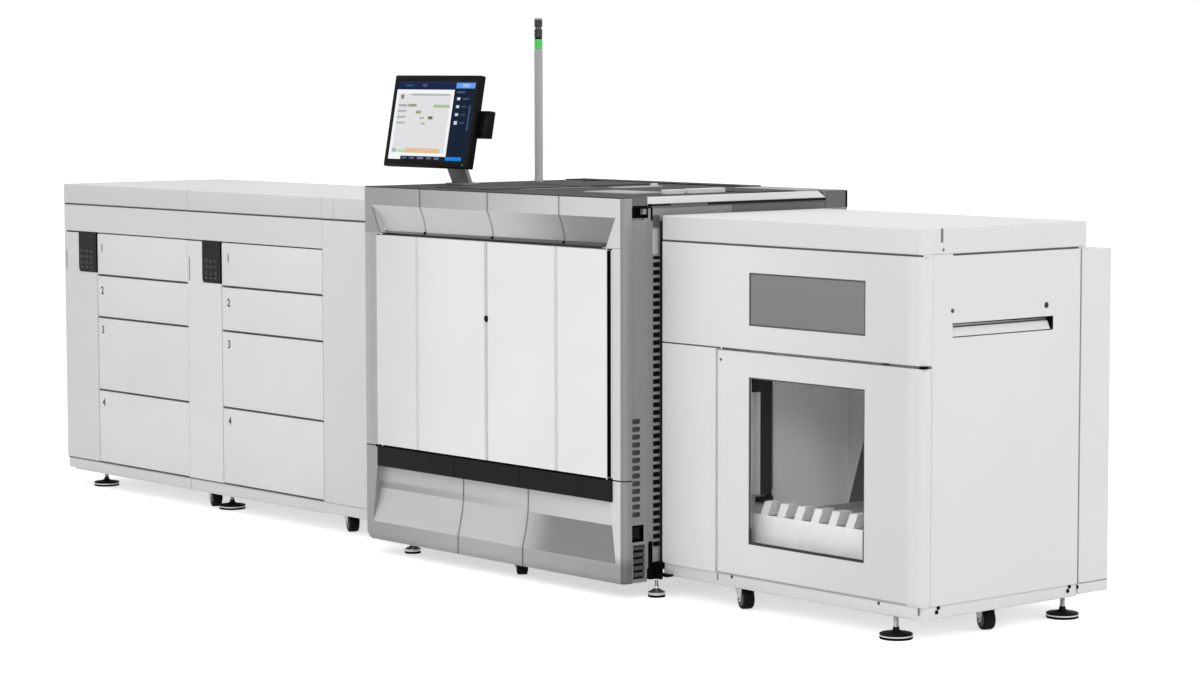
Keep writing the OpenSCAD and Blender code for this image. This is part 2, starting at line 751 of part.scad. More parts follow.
module lower_fascia() in_frame() color(silver) difference() {
    block([0, engine_w], [frame_y0, frame_y1], [engine_clear, strip_z1]);
    block([left_post_w, right_post_x0], [frame_y0 - slop, frame_y1 + slop],
        [strip_z0, strip_z1 + slop]);
    edge_cutter(0, frame_y0, left_post_r, 0, [engine_clear, strip_z1]);
    edge_cutter(engine_w, frame_y0, post_r, 90, [engine_clear, strip_z1]);
    lower_scoop();
    for (x = lower_seams)
        joint_line(x, [frame_y0 - slop, frame_y0 + scoop_d + seam_back],
            [engine_clear - slop, strip_z0 + slop]);
    translate([0, frame_y0 - slop, engine_clear])
        lower_corner_cutter(toe_r, front_frame_d + 2 * slop);
}

module kick_strip() in_frame() color(black) difference() {
    eased_block([left_post_w, right_post_x0], [0, frame_y1], [strip_z0, strip_z1], 2);
    for (x = strip_seams)
        joint_line(x, [-slop, joint_d], [strip_z0 - slop, strip_z1 + slop]);
}

// side covers between the front frame and the housing; the right one has
// pockets for its latch, its plug and its grille
module engine_side_covers() in_frame() color(mid_grey) {
    block([side_inset, left_post_w], [frame_y1, bulkhead_y1], [engine_clear, top_z0]);
    difference() {
        block([right_post_x0, engine_w - side_inset], [frame_y1, bulkhead_y1],
            [engine_clear, top_z0]);
        block([engine_w - pocket_d, engine_w], [frame_y1 - slop, frame_y1 + latch_w],
            [latch_z, latch_z + latch_h]);
        block([engine_w - pocket_d, engine_w],
            [frame_y1 + pocket_inset, frame_y1 + pocket_inset + plug_w],
            [plug_z, plug_z + plug_h]);
        block([engine_w - pocket_d, engine_w],
            [frame_y1 + pocket_inset, frame_y1 + pocket_inset + grille_w],
            [grille_z0, grille_z1]);
    }
}

module inner_cover() in_frame() color(dark_grey)
    block([left_post_w, right_post_x0], [frame_y1, bulkhead_y1], [housing_z, top_z0]);

module hinge_strip() in_frame() color(black)
    block([hinge_strip_x0, right_post_x0], [frame_y0 + 4, frame_y1],
        [strip_z1, fascia_z0 - hinge_plate_t]);

// door leaf between x[0] and x[1], y0 its face, pivoted near the edge that turn picks
module door_leaf(x, y0, t, z, turn) difference() {
    eased_block(x, [y0, y0 + t], z, 2);
    edge_cutter(turn == 0 ? x[0] : x[1], y0, pivot_edge, turn, z);
    for (socket = [[z[0] - slop, z[0] + pivot_l], [z[1] - pivot_l, z[1] + slop]])
        post(turn == 0 ? x[0] + pivot_edge : x[1] - pivot_edge, y0 + pivot_edge,
            socket, pivot_r + pin_fit);
}

// shallow V groove down the face of an engine door
module door_groove(x) translate([x, 0, door_z0 - slop])
    linear_extrude(door_z1 - door_z0 + 2 * slop)
        polygon([[-groove_w / 2, -slop], [groove_w / 2, -slop], [groove_w / 2, 0],
            [1, groove_d], [-1, groove_d], [-groove_w / 2, 0]]);

// round finger pull centred on the seam, between two depths
module pull_disc(y) translate([door_mid, y[0], pull_z]) rotate([-90, 0, 0])
    cylinder(h = y[1] - y[0], r = pull_r);

// half of the finger pull between two x coordinates
module pull_half(x) intersection() {
    pull_disc([0, pull_d]);
    block(x, [-slop, pull_d + slop], [pull_z - 2 * pull_r, pull_z + 2 * pull_r]);
}

module front_door_left() in_frame() color(door_white) difference() {
    door_leaf([door_x0, door_mid - door_gap / 2], 0, door_t, [door_z0, door_z1], 0);
    door_groove(door_x0 + left_groove_x);
    pull_disc([-slop, pull_d]);
}

module front_door_right() in_frame() color(door_white) difference() {
    door_leaf([door_mid + door_gap / 2, door_x1], 0, door_t, [door_z0, door_z1], 90);
    door_groove(door_x1 - right_groove_x);
    pull_disc([-slop, pull_d]);
}

module door_pull_left() in_frame() color(black)
    pull_half([door_mid - 2 * pull_r, door_mid - door_gap / 2]);

module door_pull_right() in_frame() color(black)
    pull_half([door_mid + door_gap / 2, door_mid + 2 * pull_r]);

// pins that carry the three doors, with the plates that hold the upper engine pins
module door_pivots() in_frame() color(dark_grey) {
    engine_pivot(door_x0 + pivot_edge, [left_post_w, door_x0 + 2 * pivot_edge]);
    engine_pivot(door_x1 - pivot_edge, [door_x1 - 2 * pivot_edge, right_post_x0]);
    pivot_x = stacker_door_x0 + pivot_edge;
    post(pivot_x, stacker_y0 + pivot_edge, [base_top_z, stacker_door_z0 + pivot_l - run_fit],
        pivot_r);
    post(pivot_x, stacker_y0 + pivot_edge, [stacker_door_z1 - pivot_l + run_fit, upper_panel_z0],
        pivot_r);
}

// lower pin on the kick strip, upper pin under its plate
module engine_pivot(x, plate_x) {
    post(x, pivot_edge, [strip_z1, door_z0 + pivot_l - run_fit], pivot_r);
    post(x, pivot_edge, [door_z1 - pivot_l + run_fit, fascia_z0 - hinge_plate_t], pivot_r);
    block(plate_x, [frame_y0, frame_y1], [fascia_z0 - hinge_plate_t, fascia_z0]);
}

// ---------------------------------------------------------------- monitor and tower

// arm: foot plate, leaning arm, barrel and hinge pin
module monitor_arm() in_frame() color(mid_grey) translate([monitor_x + arm_shift, 0, 0]) {
    block([-arm_w / 2, arm_w / 2], [arm_foot_y - arm_plate_d / 2, arm_foot_y + arm_plate_d / 2],
        [engine_h, engine_h + arm_plate_t]);
    hull() {
        block([-arm_w / 2, arm_w / 2], [arm_foot_y - arm_t / 2, arm_foot_y + arm_t / 2],
            [engine_h + arm_plate_t - slop, engine_h + arm_plate_t]);
        translate([-arm_w / 2, monitor_y, hinge_z]) rotate([0, 90, 0])
            cylinder(h = arm_w, r = arm_t / 2 + arm_barrel, $fn = 32);
    }
    translate([-arm_w / 2 - lug_gap - lug_t, monitor_y, hinge_z]) rotate([0, 90, 0])
        cylinder(h = arm_w + 2 * (lug_gap + lug_t), r = tilt_pin_r);
}

// places a piece given in the monitor's own frame, with the hinge axis along X
module on_monitor() in_frame() translate([monitor_x, monitor_y, hinge_z])
    rotate([-monitor_tilt, 0, 0]) children();

// opening of the bezel between y[0] and y[1]
module monitor_opening(y) block([-monitor_w / 2 + bezel_w, monitor_w / 2 - bezel_w], y,
    [hinge_low - monitor_h / 2 + chin_h, hinge_low + monitor_h / 2 - bezel_w]);

module monitor() on_monitor() color(black) difference() {
    union() {
        eased_block([-monitor_w / 2, monitor_w / 2], [-hinge_back, -hinge_back + monitor_t],
            [hinge_low - monitor_h / 2, hinge_low + monitor_h / 2]);
        for (side = [-1, 1]) {
            x0 = arm_shift + (side > 0 ? arm_w / 2 + lug_gap : -arm_w / 2 - lug_gap - lug_t);
            block([x0, x0 + lug_t], [-hinge_back + monitor_t - slop, 0], [-lug_r, lug_r]);
            translate([x0, 0, 0]) rotate([0, 90, 0]) cylinder(h = lug_t, r = lug_r);
        }
    }
    monitor_opening([-hinge_back - slop, -hinge_back + glass_d]);
    translate([arm_shift - arm_w / 2 - lug_gap - lug_t - slop, 0, 0]) rotate([0, 90, 0])
        cylinder(h = arm_w + 2 * (lug_gap + lug_t + slop), r = tilt_pin_r + pin_fit);
}

module monitor_glass() on_monitor() color([0.1, 0.15, 0.25])
    monitor_opening([-hinge_back + glass_low, -hinge_back + glass_d]);

module card_reader() on_monitor() color(black)
    eased_block([monitor_w / 2 - reader_in, monitor_w / 2 + reader_out],
        [-hinge_back + monitor_t, -hinge_back + monitor_t + reader_t],
        [hinge_low - reader_h / 2 - reader_low, hinge_low + reader_h / 2 - reader_low], 2);

module signal_pole() in_frame() color(mid_grey) {
    post(tower_x, tower_y, [engine_h, engine_h + tower_foot_h], tower_r + tower_foot_w);
    post(tower_x, tower_y, [engine_h + tower_foot_h - slop, lamp_z0], tower_r);
}

module signal_lamp() in_frame() color("limegreen") difference() {
    post(tower_x, tower_y, [lamp_z0, engine_h + tower_h], tower_r);
    for (z = lamp_lines)
        translate([tower_x, tower_y, lamp_z0 + z]) rotate_extrude()
            translate([tower_r - lamp_line_d, 0]) square([2 * lamp_line_d, lamp_line_w]);
}

// ---------------------------------------------------------------- stacker

module stacker_base() in_frame() color(off_white) difference() {
    cabinet_base([stacker_x0 + base_inset, stacker_x1 - base_inset],
        [stacker_y0 + base_inset, stacker_y1 - base_inset]);
    edge_cutter(stacker_x1 - base_inset, stacker_y0 + base_inset, corner_r - base_inset, 90,
        [skirt_z, base_top_z]);
}

module stacker_left_panel() in_frame() color(off_white)
    block([stacker_x0, bay_s_x0], [stacker_y0, stacker_y1], [base_top_z, door_top_z]);

module stacker_right_wall() in_frame() color(off_white) difference() {
    block([bay_s_x1, stacker_x1], [stacker_y0 + panel_t + door_gap, stacker_y1],
        [base_top_z, housing_top]);
    block([stacker_x1 - handle_d, stacker_x1 + slop], [handle_y0, handle_y0 + handle_l],
        [handle_z, handle_z + handle_h]);
}

module stacker_back_housing() in_frame() color(mid_grey)
    block([bay_s_x0, bay_s_x1], [bay_s_y1, stacker_y1], [base_top_z, door_top_z]);

module stacker_upper_housing() in_frame() color(off_white)
    block([stacker_x0, bay_s_x1], [stacker_y0 + panel_t, stacker_y1], [door_top_z, housing_top]);

module stacker_upper_panel() in_frame() color(off_white) difference() {
    block([stacker_x0, stacker_x1], [stacker_y0, stacker_y0 + panel_t],
        [upper_panel_z0, housing_top]);
    edge_cutter(stacker_x1, stacker_y0, corner_r, 90, [upper_panel_z0, housing_top]);
    block([window_x0, window_x1], [stacker_y0 - slop, stacker_y0 + pane_seat + pane_t],
        upper_window);
}

module stacker_upper_window() in_frame() color(smoke)
    block([window_x0, window_x1], [stacker_y0 + pane_seat, stacker_y0 + pane_seat + pane_t],
        upper_window);

module stacker_top_cover() in_frame() color(off_white) difference() {
    cabinet_cover([stacker_x0, stacker_x1], [stacker_y0, stacker_y1 + cover_overhang], []);
    edge_cutter(stacker_x1, stacker_y0, corner_r, 90, [housing_top, cabinet_h]);
}

module stacker_rear_cover() in_frame() color(off_white)
    eased_block([stacker_x0, stacker_x1], [stacker_y1, stacker_y1 + stacker_rear_d],
        [skirt_z + rear_cover_rise, housing_top - rear_cover_drop]);

module stacker_door() in_frame() color(off_white) difference() {
    door_leaf([stacker_door_x0, stacker_x1], stacker_y0, panel_t,
        [stacker_door_z0, stacker_door_z1], 0);
    edge_cutter(stacker_x1, stacker_y0, corner_r, 90, [stacker_door_z0, stacker_door_z1]);
    block([window_x0, window_x1], [stacker_y0 - slop, stacker_y0 + panel_t + slop],
        door_window);
}

module stacker_door_glass() in_frame() color([0.75, 0.78, 0.8, 0.4])
    block([window_x0, window_x1], [stacker_y0 + pane_seat, stacker_y0 + pane_seat + pane_t],
        door_window);

// stack tray: a closed carrier with a deck of teeth that lean back at the front
module stack_tray() in_frame() color(door_white) {
    block([tray_x0, tray_x1], [tray_y0, tray_y1], [base_top_z, deck_z]);
    for (x = [tray_x0 + tooth_margin : tooth_pitch : tray_x1 - tooth_w])
        translate([x, tray_y0, deck_z - slop]) rotate([90, 0, 90]) linear_extrude(tooth_w)
            polygon([[0, 0], [tooth_lean, tooth_h + slop], [tooth_l, tooth_h + slop],
                [tooth_l, 0]]);
}

// black rail on the left wall of the bay, with its head
module guide_bar() in_frame() color(black) {
    block([bay_s_x0, bay_s_x0 + guide_t], [guide_y0, guide_y0 + guide_w], [guide_z0, guide_z1]);
    block([bay_s_x0, bay_s_x0 + guide_t], [guide_y0 - guide_head_l, guide_y0 + slop],
        [guide_z1 - guide_head_h, guide_z1]);
}

// bracket under the engine's right side that the stacker docks to, on its own foot
module docking_bracket() in_frame() color(black) {
    block([engine_w - bracket_in, stacker_x0 + bracket_over], [bracket_y0, stacker_y0],
        [housing_z - bracket_h, housing_z]);
    foot([engine_w + bracket_foot[0], bracket_y0 + bracket_foot[1]], housing_z - bracket_h,
        engine_pad_r);
}

// collars around the paper passages, from the engine's sides to its neighbours
module docking_collars() in_frame() color(black) {
    block([feeder_x1, side_inset], collar_y, collar_z);
    block([engine_w - side_inset, stacker_x0], collar_y, collar_z);
}

// ---------------------------------------------------------------- feet and castors

// levelling foot at p with a pad of radius r, its stem ending at z
module foot(p, z, r) translate([p[0], p[1], 0]) {
    cylinder(h = pad_t, r = r);
    translate([0, 0, pad_t - 0.01]) cylinder(h = cone_h, r1 = r - 6, r2 = nut_r);
    translate([0, 0, pad_t + cone_h - 0.02]) cylinder(h = nut_h, r = nut_r, $fn = 6);
    cylinder(h = z, r = stem_r);
}

module levelling_feet() in_frame() color(dark_grey) {
    for (p = feeder_feet)
        foot(p, castor_mount_z, pad_r);
    for (p = engine_feet)
        foot(p, housing_z, engine_pad_r);
    for (p = stacker_feet)
        foot(p, castor_mount_z, pad_r);
}

module at_castor(c) translate([c[0], c[1], 0]) rotate([0, 0, c[3]]) children();

// fork with its plate, swivel, crown, cheeks and axle; the wheel trails along +X
module castor_fork(mount_z) {
    cheek_y = wheel_w / 2 + wheel_gap;
    crown_z = 2 * wheel_r + crown_gap;
    block([-castor_plate, castor_plate], [-castor_plate, castor_plate],
        [mount_z - crown_t, mount_z]);
    post(0, 0, [crown_z, mount_z - slop], swivel_r);
    block([-swivel_r, castor_trail + cheek_half], [-cheek_y - cheek_t, cheek_y + cheek_t],
        [crown_z, crown_z + crown_t]);
    for (y = [-cheek_y - cheek_t, cheek_y])
        block([castor_trail - cheek_half, castor_trail + cheek_half], [y, y + cheek_t],
            [wheel_r - axle_r - cheek_t, crown_z + slop]);
    translate([castor_trail, -cheek_y - cheek_t, wheel_r]) rotate([-90, 0, 0])
        cylinder(h = 2 * (cheek_y + cheek_t), r = axle_r);
}

module castor_forks() in_frame() color(silver)
    for (c = castors) at_castor(c) castor_fork(c[2]);

module castor_wheels() in_frame() color(black)
    for (c = castors) at_castor(c) translate([castor_trail, -wheel_w / 2, wheel_r])
        rotate([-90, 0, 0]) difference() {
            cylinder(h = wheel_w, r = wheel_r);
            translate([0, 0, -slop]) cylinder(h = wheel_w + 2 * slop, r = axle_r + pin_fit);
        }

// ---------------------------------------------------------------- drawing

feeder_base();
feeder_end_panel();
feeder_left_column();
feeder_middle_column();
feeder_right_cabinet();
feeder_back_housing();
feeder_upper_housing();
feeder_top_cover();
control_panels();
drawer_runners();
drawer_a1();
drawer_a2();
drawer_a3();
drawer_a4();
drawer_b1();
drawer_b2();
drawer_b3();
drawer_b4();
engine_housing();
engine_rear_cover();
engine_top_cover();
engine_top_rail();
engine_left_post();
engine_right_post();
upper_fascia();
lower_fascia();
kick_strip();
engine_side_covers();
inner_cover();
hinge_strip();
front_door_left();
front_door_right();
door_pull_left();
door_pull_right();
door_pivots();
monitor_arm();
monitor();
monitor_glass();
card_reader();
signal_pole();
signal_lamp();
stacker_base();
stacker_left_panel();
stacker_right_wall();
stacker_back_housing();
stacker_upper_housing();
stacker_upper_panel();
stacker_upper_window();
stacker_top_cover();
stacker_rear_cover();
stacker_door();
stacker_door_glass();
stack_tray();
guide_bar();
docking_bracket();
docking_collars();
levelling_feet();
castor_forks();
castor_wheels();
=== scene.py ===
"""Looks of a digital production printer line: shells, fittings, finishes and its studio."""

import json
import math
from contextlib import contextmanager

import bmesh
import bpy
from bpy.props import FloatProperty, FloatVectorProperty, PointerProperty
from mathutils import Matrix, Vector

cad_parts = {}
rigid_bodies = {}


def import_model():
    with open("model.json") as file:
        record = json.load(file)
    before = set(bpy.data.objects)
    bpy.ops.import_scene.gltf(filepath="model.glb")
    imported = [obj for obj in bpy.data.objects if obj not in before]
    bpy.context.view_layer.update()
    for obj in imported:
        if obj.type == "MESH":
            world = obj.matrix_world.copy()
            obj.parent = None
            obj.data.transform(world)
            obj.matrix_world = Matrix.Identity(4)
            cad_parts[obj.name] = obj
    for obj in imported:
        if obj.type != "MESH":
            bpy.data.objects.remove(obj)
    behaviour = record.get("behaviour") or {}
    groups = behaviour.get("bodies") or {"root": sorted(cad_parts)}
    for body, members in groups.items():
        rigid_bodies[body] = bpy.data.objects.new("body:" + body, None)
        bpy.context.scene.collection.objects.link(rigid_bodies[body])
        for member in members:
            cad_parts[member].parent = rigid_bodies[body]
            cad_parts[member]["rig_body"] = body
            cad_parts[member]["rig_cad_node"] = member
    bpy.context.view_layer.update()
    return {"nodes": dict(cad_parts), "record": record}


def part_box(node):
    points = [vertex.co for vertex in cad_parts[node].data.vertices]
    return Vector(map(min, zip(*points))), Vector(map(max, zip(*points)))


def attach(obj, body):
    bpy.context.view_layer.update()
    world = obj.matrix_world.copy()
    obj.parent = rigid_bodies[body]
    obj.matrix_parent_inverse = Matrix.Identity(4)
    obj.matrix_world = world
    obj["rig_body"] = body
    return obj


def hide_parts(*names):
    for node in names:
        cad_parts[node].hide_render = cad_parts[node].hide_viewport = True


bl_info = {
    "name": "Digital production printer",
    "version": (1, 0, 0),
    "blender": (4, 5, 0),
    "location": "3D View > Sidebar > Printer",
    "description": "Dresses the printer line's frame with shells, fittings and finishes",
    "category": "Object",
}

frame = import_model()
SLOT = {row["node"]: row["material_slot"] for row in frame["record"]["subparts"]}
BODIES = frame["record"]["behaviour"]["bodies"]
BODY = {node: body for body, nodes in BODIES.items() for node in nodes}
LINE = "line_frame"

MM = 0.001
# the engine's left side, the faces of its doors and the floor are zero for every size below
ENGINE_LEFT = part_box("engine_left_post")[0].x
DOOR_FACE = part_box("front_door_left")[0].y


def at(x, y, z):
    """Place in the frame, in metres, of a point given in millimetres along, into and above."""
    return Vector((ENGINE_LEFT + x * MM, DOOR_FACE + y * MM, z * MM))


def shade(value):
    """Linear grey or colour of a display value."""
    if isinstance(value, (tuple, list)):
        return tuple(shade(part) for part in value)
    return value / 12.92 if value <= 0.04045 else ((value + 0.055) / 1.055) ** 2.4


# ---------------------------------------------------------------- sizes and colours


def size_prop(name, description, default):
    return FloatProperty(
        name=name, description=description, default=default, min=0.0, max=1.0,
        unit="LENGTH", subtype="DISTANCE",
    )


def colour_prop(name, description, value):
    grey = value if isinstance(value, tuple) else (value,) * 3
    return FloatVectorProperty(
        name=name, description=description, default=shade(grey), size=3, min=0, max=1,
        subtype="COLOR",
    )


class PrinterSizes(bpy.types.PropertyGroup):
    """Sizes of the fittings that the frame doesn't give"""

    panel_edge: size_prop("Panel edge", "Radius of the folded edges of sheet panels", 0.0016)
    door_edge: size_prop("Door edge", "Radius of the edges of the engine doors", 0.0022)
    slot_pitch: size_prop("Slot pitch", "Pitch of the cooling slots", 0.0273)
    numeral: size_prop("Numeral height", "Type size of the drawer numbers", 0.046)
    coat_grain: size_prop("Coat grain", "Grain of the powder coat", 0.0016)


class PrinterColours(bpy.types.PropertyGroup):
    """Colours of the finishes"""

    cover: colour_prop("Covers", "Powder coat of the cabinets", 0.868)
    lid: colour_prop("Top covers", "Powder coat of the cabinets' top covers", 0.845)
    drawer: colour_prop("Drawers", "Powder coat of the drawer fronts", 0.90)
    door: colour_prop("Engine doors", "White paint of the engine doors", 0.93)
    silver: colour_prop("Silver", "Metallic paint of the engine's front frame", 0.80)
    housing: colour_prop("Housing", "Grey paint of the engine's sides and back", 0.56)
    dark: colour_prop("Dark grey", "Paint of the dark covers", 0.40)
    top: colour_prop("Engine top", "Paint of the engine's top", 0.29)
    black: colour_prop("Black", "Black moulded plastic", 0.05)
    lining: colour_prop("Bay lining", "Grey lining of the stacker's bay", 0.95)
    lamp: colour_prop("Lit lamp", "Lens of the lamp that is lit", (0.22, 0.70, 0.28))


def sizes():
    return bpy.context.scene.printer_sizes


def colours():
    return bpy.context.scene.printer_colours


# ---------------------------------------------------------------- node trees


def feed(tree, socket, value):
    """Links a socket to another, or sets its value."""
    if isinstance(value, bpy.types.NodeSocket):
        tree.links.new(value, socket)
    elif socket.type == "RGBA":
        socket.default_value = (*tuple(value)[:3], 1.0)
    else:
        socket.default_value = value


def add(tree, kind, settings=None, inputs=None):
    """Adds a node, sets it up and feeds its inputs with values or other nodes' sockets."""
    made = tree.nodes.new(kind)
    for key, value in (settings or {}).items():
        setattr(made, key, value)
    for key, value in (inputs or {}).items():
        feed(tree, made.inputs[key], value)
    return made


def group(name, inputs, outputs):
    """Empty effect group with float inputs and outputs, and its two end nodes."""
    tree = bpy.data.node_groups.new(name, "ShaderNodeTree")
    for label, default in inputs:
        socket = tree.interface.new_socket(label, in_out="INPUT", socket_type="NodeSocketFloat")
        socket.default_value = default
    for label in outputs:
        tree.interface.new_socket(label, in_out="OUTPUT", socket_type="NodeSocketFloat")
    return tree, tree.nodes.new("NodeGroupInput").outputs, tree.nodes.new("NodeGroupOutput").inputs


def maths(tree, kind, first, second=0.0, clamp=False):
    made = add(tree, "ShaderNodeMath", {"operation": kind, "use_clamp": clamp})
    for socket, value in zip(made.inputs, (first, second)):
        feed(tree, socket, value)
    return made.outputs[0]


def spread(tree, value, low, high, to_low, to_high):
    """Eased run of a value between two limits."""
    made = add(
        tree, "ShaderNodeMapRange", {"interpolation_type": "SMOOTHSTEP"},
        {"Value": value, "From Min": low, "From Max": high, "To Min": to_low, "To Max": to_high},
    )
    return made.outputs["Result"]


def times(tree, first, *others):
    """Product of values."""
    for other in others:
        first = maths(tree, "MULTIPLY", first, other)
    return first


def place_of(tree):
    return add(tree, "ShaderNodeTexCoord").outputs["Object"]


def part_of(tree, vector, axis):
    """One part of a vector."""
    return add(tree, "ShaderNodeSeparateXYZ", None, {"Vector": vector}).outputs[axis]


def facing(tree, axis, kind="Normal"):
    """How far the surface looks along an axis."""
    return part_of(tree, add(tree, "ShaderNodeNewGeometry").outputs[kind], axis)


def ramp(tree, axis, low, high, first, last):
    """Eased run of a tone between two millimetre limits along an axis of the line."""
    place = "XYZ".index(axis)
    return spread(tree, part_of(tree, place_of(tree), axis),
                  at(low, low, low)[place], at(high, high, high)[place], first, last)


def mix(tree, kind, factor, low, high):
    """Mix of two values or colours."""
    made = add(tree, "ShaderNodeMix", {"data_type": kind}, {"Factor": factor})
    feed(tree, made.inputs["A"], low)
    feed(tree, made.inputs["B"], high)
    return made.outputs["Result"]


def seen(tree):
    """1 for rays that reach the camera, mirrored or through glass too, and 0 for other light."""
    path = add(tree, "ShaderNodeLightPath").outputs
    direct = maths(tree, "MAXIMUM", path["Is Camera Ray"], path["Is Glossy Ray"])
    return maths(tree, "MAXIMUM", direct, path["Is Transmission Ray"])


def noise(tree, scale, detail=2.0, where=None):
    made = add(
        tree, "ShaderNodeTexNoise", None,
        {"Vector": where or place_of(tree), "Scale": scale, "Detail": detail},
    )
    return made.outputs["Fac"]


def build_coat_grain():
    """Orange-peel height of a sprayed coat, with slow drifts of its tone and gloss."""
    tree, into, out = group(
        "coat_grain", (("Grain", 0.0016), ("Drift", 0.02)), ("Height", "Tone", "Gloss")
    )
    per_metre = maths(tree, "DIVIDE", 1.0, into["Grain"])
    fine = noise(tree, per_metre, 3.0)
    broad = noise(tree, 2.2, 3.0)
    tree.links.new(fine, out["Height"])
    low = maths(tree, "SUBTRACT", 1.0, into["Drift"])
    high = maths(tree, "ADD", 1.0, into["Drift"])
    tree.links.new(spread(tree, broad, 0.3, 0.7, low, high), out["Tone"])
    tree.links.new(spread(tree, noise(tree, 14.0, 4.0), 0.3, 0.75, -0.04, 0.05), out["Gloss"])
    return tree


def build_edge_rub():
    """Edges that hands and cloths have polished a little, drawn lighter: partly wear, partly a
    painted highlight.
    """
    tree, into, out = group("edge_rub", (("Strength", 0.4),), ("Mask",))
    point = add(tree, "ShaderNodeNewGeometry").outputs["Pointiness"]
    edge = spread(tree, point, 0.53, 0.62, 0.0, 1.0)
    patchy = spread(tree, noise(tree, 30.0, 3.0), 0.35, 0.65, 0.25, 1.0)
    rubbed = maths(tree, "MULTIPLY", times(tree, edge, patchy), into["Strength"], True)
    tree.links.new(rubbed, out["Mask"])
    return tree


def build_floor_dust():
    """Fine dust near the floor and on level tops."""
    tree, into, out = group("floor_dust", (("Strength", 0.1), ("Reach", 0.18)), ("Mask",))
    height = part_of(tree, place_of(tree), "Z")
    low = spread(tree, maths(tree, "DIVIDE", height, into["Reach"]), 0.0, 1.0, 1.0, 0.0)
    level = spread(tree, facing(tree, "Z"), 0.6, 0.95, 0.0, 0.45)
    settled = maths(tree, "MAXIMUM", low, level)
    patchy = spread(tree, noise(tree, 9.0, 5.0), 0.3, 0.75, 0.2, 1.0)
    dusty = maths(tree, "MULTIPLY", times(tree, settled, patchy), into["Strength"], True)
    tree.links.new(dusty, out["Mask"])
    return tree


def build_tone_run():
    """Painted light along the line: a tone that grows lighter or darker from one place to another.
    """
    tree, into, out = group(
        "tone_run", (("Start", 0.0), ("End", 1.0), ("First", 1.0), ("Last", 1.0)), ("Tone",)
    )
    along = part_of(tree, place_of(tree), "X")
    tone = spread(tree, along, into["Start"], into["End"], into["First"], into["Last"])
    tree.links.new(tone, out["Tone"])
    return tree


def build_drawn_lines():
    """Fine lines of drawn or ground metal along the line of machines."""
    tree, into, out = group("drawn_lines", (("Lines", 900.0),), ("Height", "Tone"))
    stretch = add(
        tree, "ShaderNodeMapping", None,
        {"Vector": place_of(tree), "Scale": (0.02, 1.0, 1.0)},
    ).outputs["Vector"]
    lines = noise(tree, into["Lines"], 2.0, stretch)
    tree.links.new(lines, out["Height"])
    tree.links.new(spread(tree, lines, 0.3, 0.7, 0.9, 1.08), out["Tone"])
    return tree


EFFECTS = {
    "coat_grain": build_coat_grain,
    "edge_rub": build_edge_rub,
    "floor_dust": build_floor_dust,
    "tone_run": build_tone_run,
    "drawn_lines": build_drawn_lines,
}


def effect(tree, name, **inputs):
    """Places an effect group in a material, building the group the first time."""
    shared = bpy.data.node_groups.get(name) or EFFECTS[name]()
    made = add(tree, "ShaderNodeGroup", {"node_tree": shared})
    for key, value in inputs.items():
        made.inputs[key].default_value = value
    return made.outputs


def blank(name):
    """New material with its Principled shader."""
    made = bpy.data.materials.new(name)
    made.use_nodes = True
    return made, made.node_tree, made.node_tree.nodes["Principled BSDF"]


def tone_along(tree, start, end, first, last):
    """Painted light between two places along the line, in millimetres."""
    return effect(tree, "tone_run", Start=at(start, 0, 0).x, End=at(end, 0, 0).x,
                  First=first, Last=last)["Tone"]


def tinted(tree, colour, tone):
    """Colour scaled by a tone."""
    if not isinstance(colour, bpy.types.NodeSocket):
        colour = tuple(colour)[:3]
    made = add(tree, "ShaderNodeVectorMath", {"operation": "SCALE"}, {0: colour, "Scale": tone})
    return made.outputs["Vector"]


def smeared(tree, shader, scale, low, high, first=0.35):
    """Gloss that fingers and cloths have made uneven."""
    tree.links.new(spread(tree, noise(tree, scale, 4.0), first, 0.8, low, high),
                   shader.inputs["Roughness"])


def relief(tree, shader, height, strength, depth):
    bump = add(
        tree, "ShaderNodeBump", None,
        {"Height": height, "Strength": strength, "Distance": depth},
    )
    tree.links.new(bump.outputs["Normal"], shader.inputs["Normal"])


DUST = (0.42, 0.40, 0.37)


def dusted(tree, shader, base, strength):
    """Base colour with dust over it; gives the mask of the dust."""
    settled = effect(tree, "floor_dust", Strength=strength)["Mask"]
    tree.links.new(mix(tree, "RGBA", settled, base, DUST), shader.inputs["Base Color"])
    return settled


def coated(name, colour, rough, grain=None, peel=0.25, drift=0.02, rub=0.35, dust=0.10,
           metallic=0.0, shine=0.5, runs=()):
    """Sprayed or moulded finish: grain, drifts of tone, polished edges drawn lighter as wear and
    painted highlight, painted light along the line and a little dust.
    """
    made, tree, shader = blank(name)
    shader.inputs["Metallic"].default_value = metallic
    shader.inputs["Specular IOR Level"].default_value = shine
    skin = effect(tree, "coat_grain", Grain=grain or sizes().coat_grain, Drift=drift)
    # the grain's random drift of tone, times the painted light along the line
    tone = times(tree, skin["Tone"], *[tone_along(tree, *run) for run in runs])
    wear_highlight_mask = effect(tree, "edge_rub", Strength=rub)["Mask"]
    # colour of the edges: lighter, for wear and a painted highlight
    lighter = [min(1.0, part * 1.25 + 0.02) for part in colour]
    base = mix(tree, "RGBA", wear_highlight_mask, tinted(tree, colour, tone), tinted(tree, lighter, tone))
    settled = dusted(tree, shader, base, dust)
    gloss = maths(tree, "ADD", times(tree, settled, 0.5), rough)
    gloss = maths(tree, "ADD", gloss, skin["Gloss"])
    gloss = maths(tree, "SUBTRACT", gloss, times(tree, wear_highlight_mask, 0.12), True)
    tree.links.new(gloss, shader.inputs["Roughness"])
    relief(tree, shader, skin["Height"], peel, 0.0003)
    return made


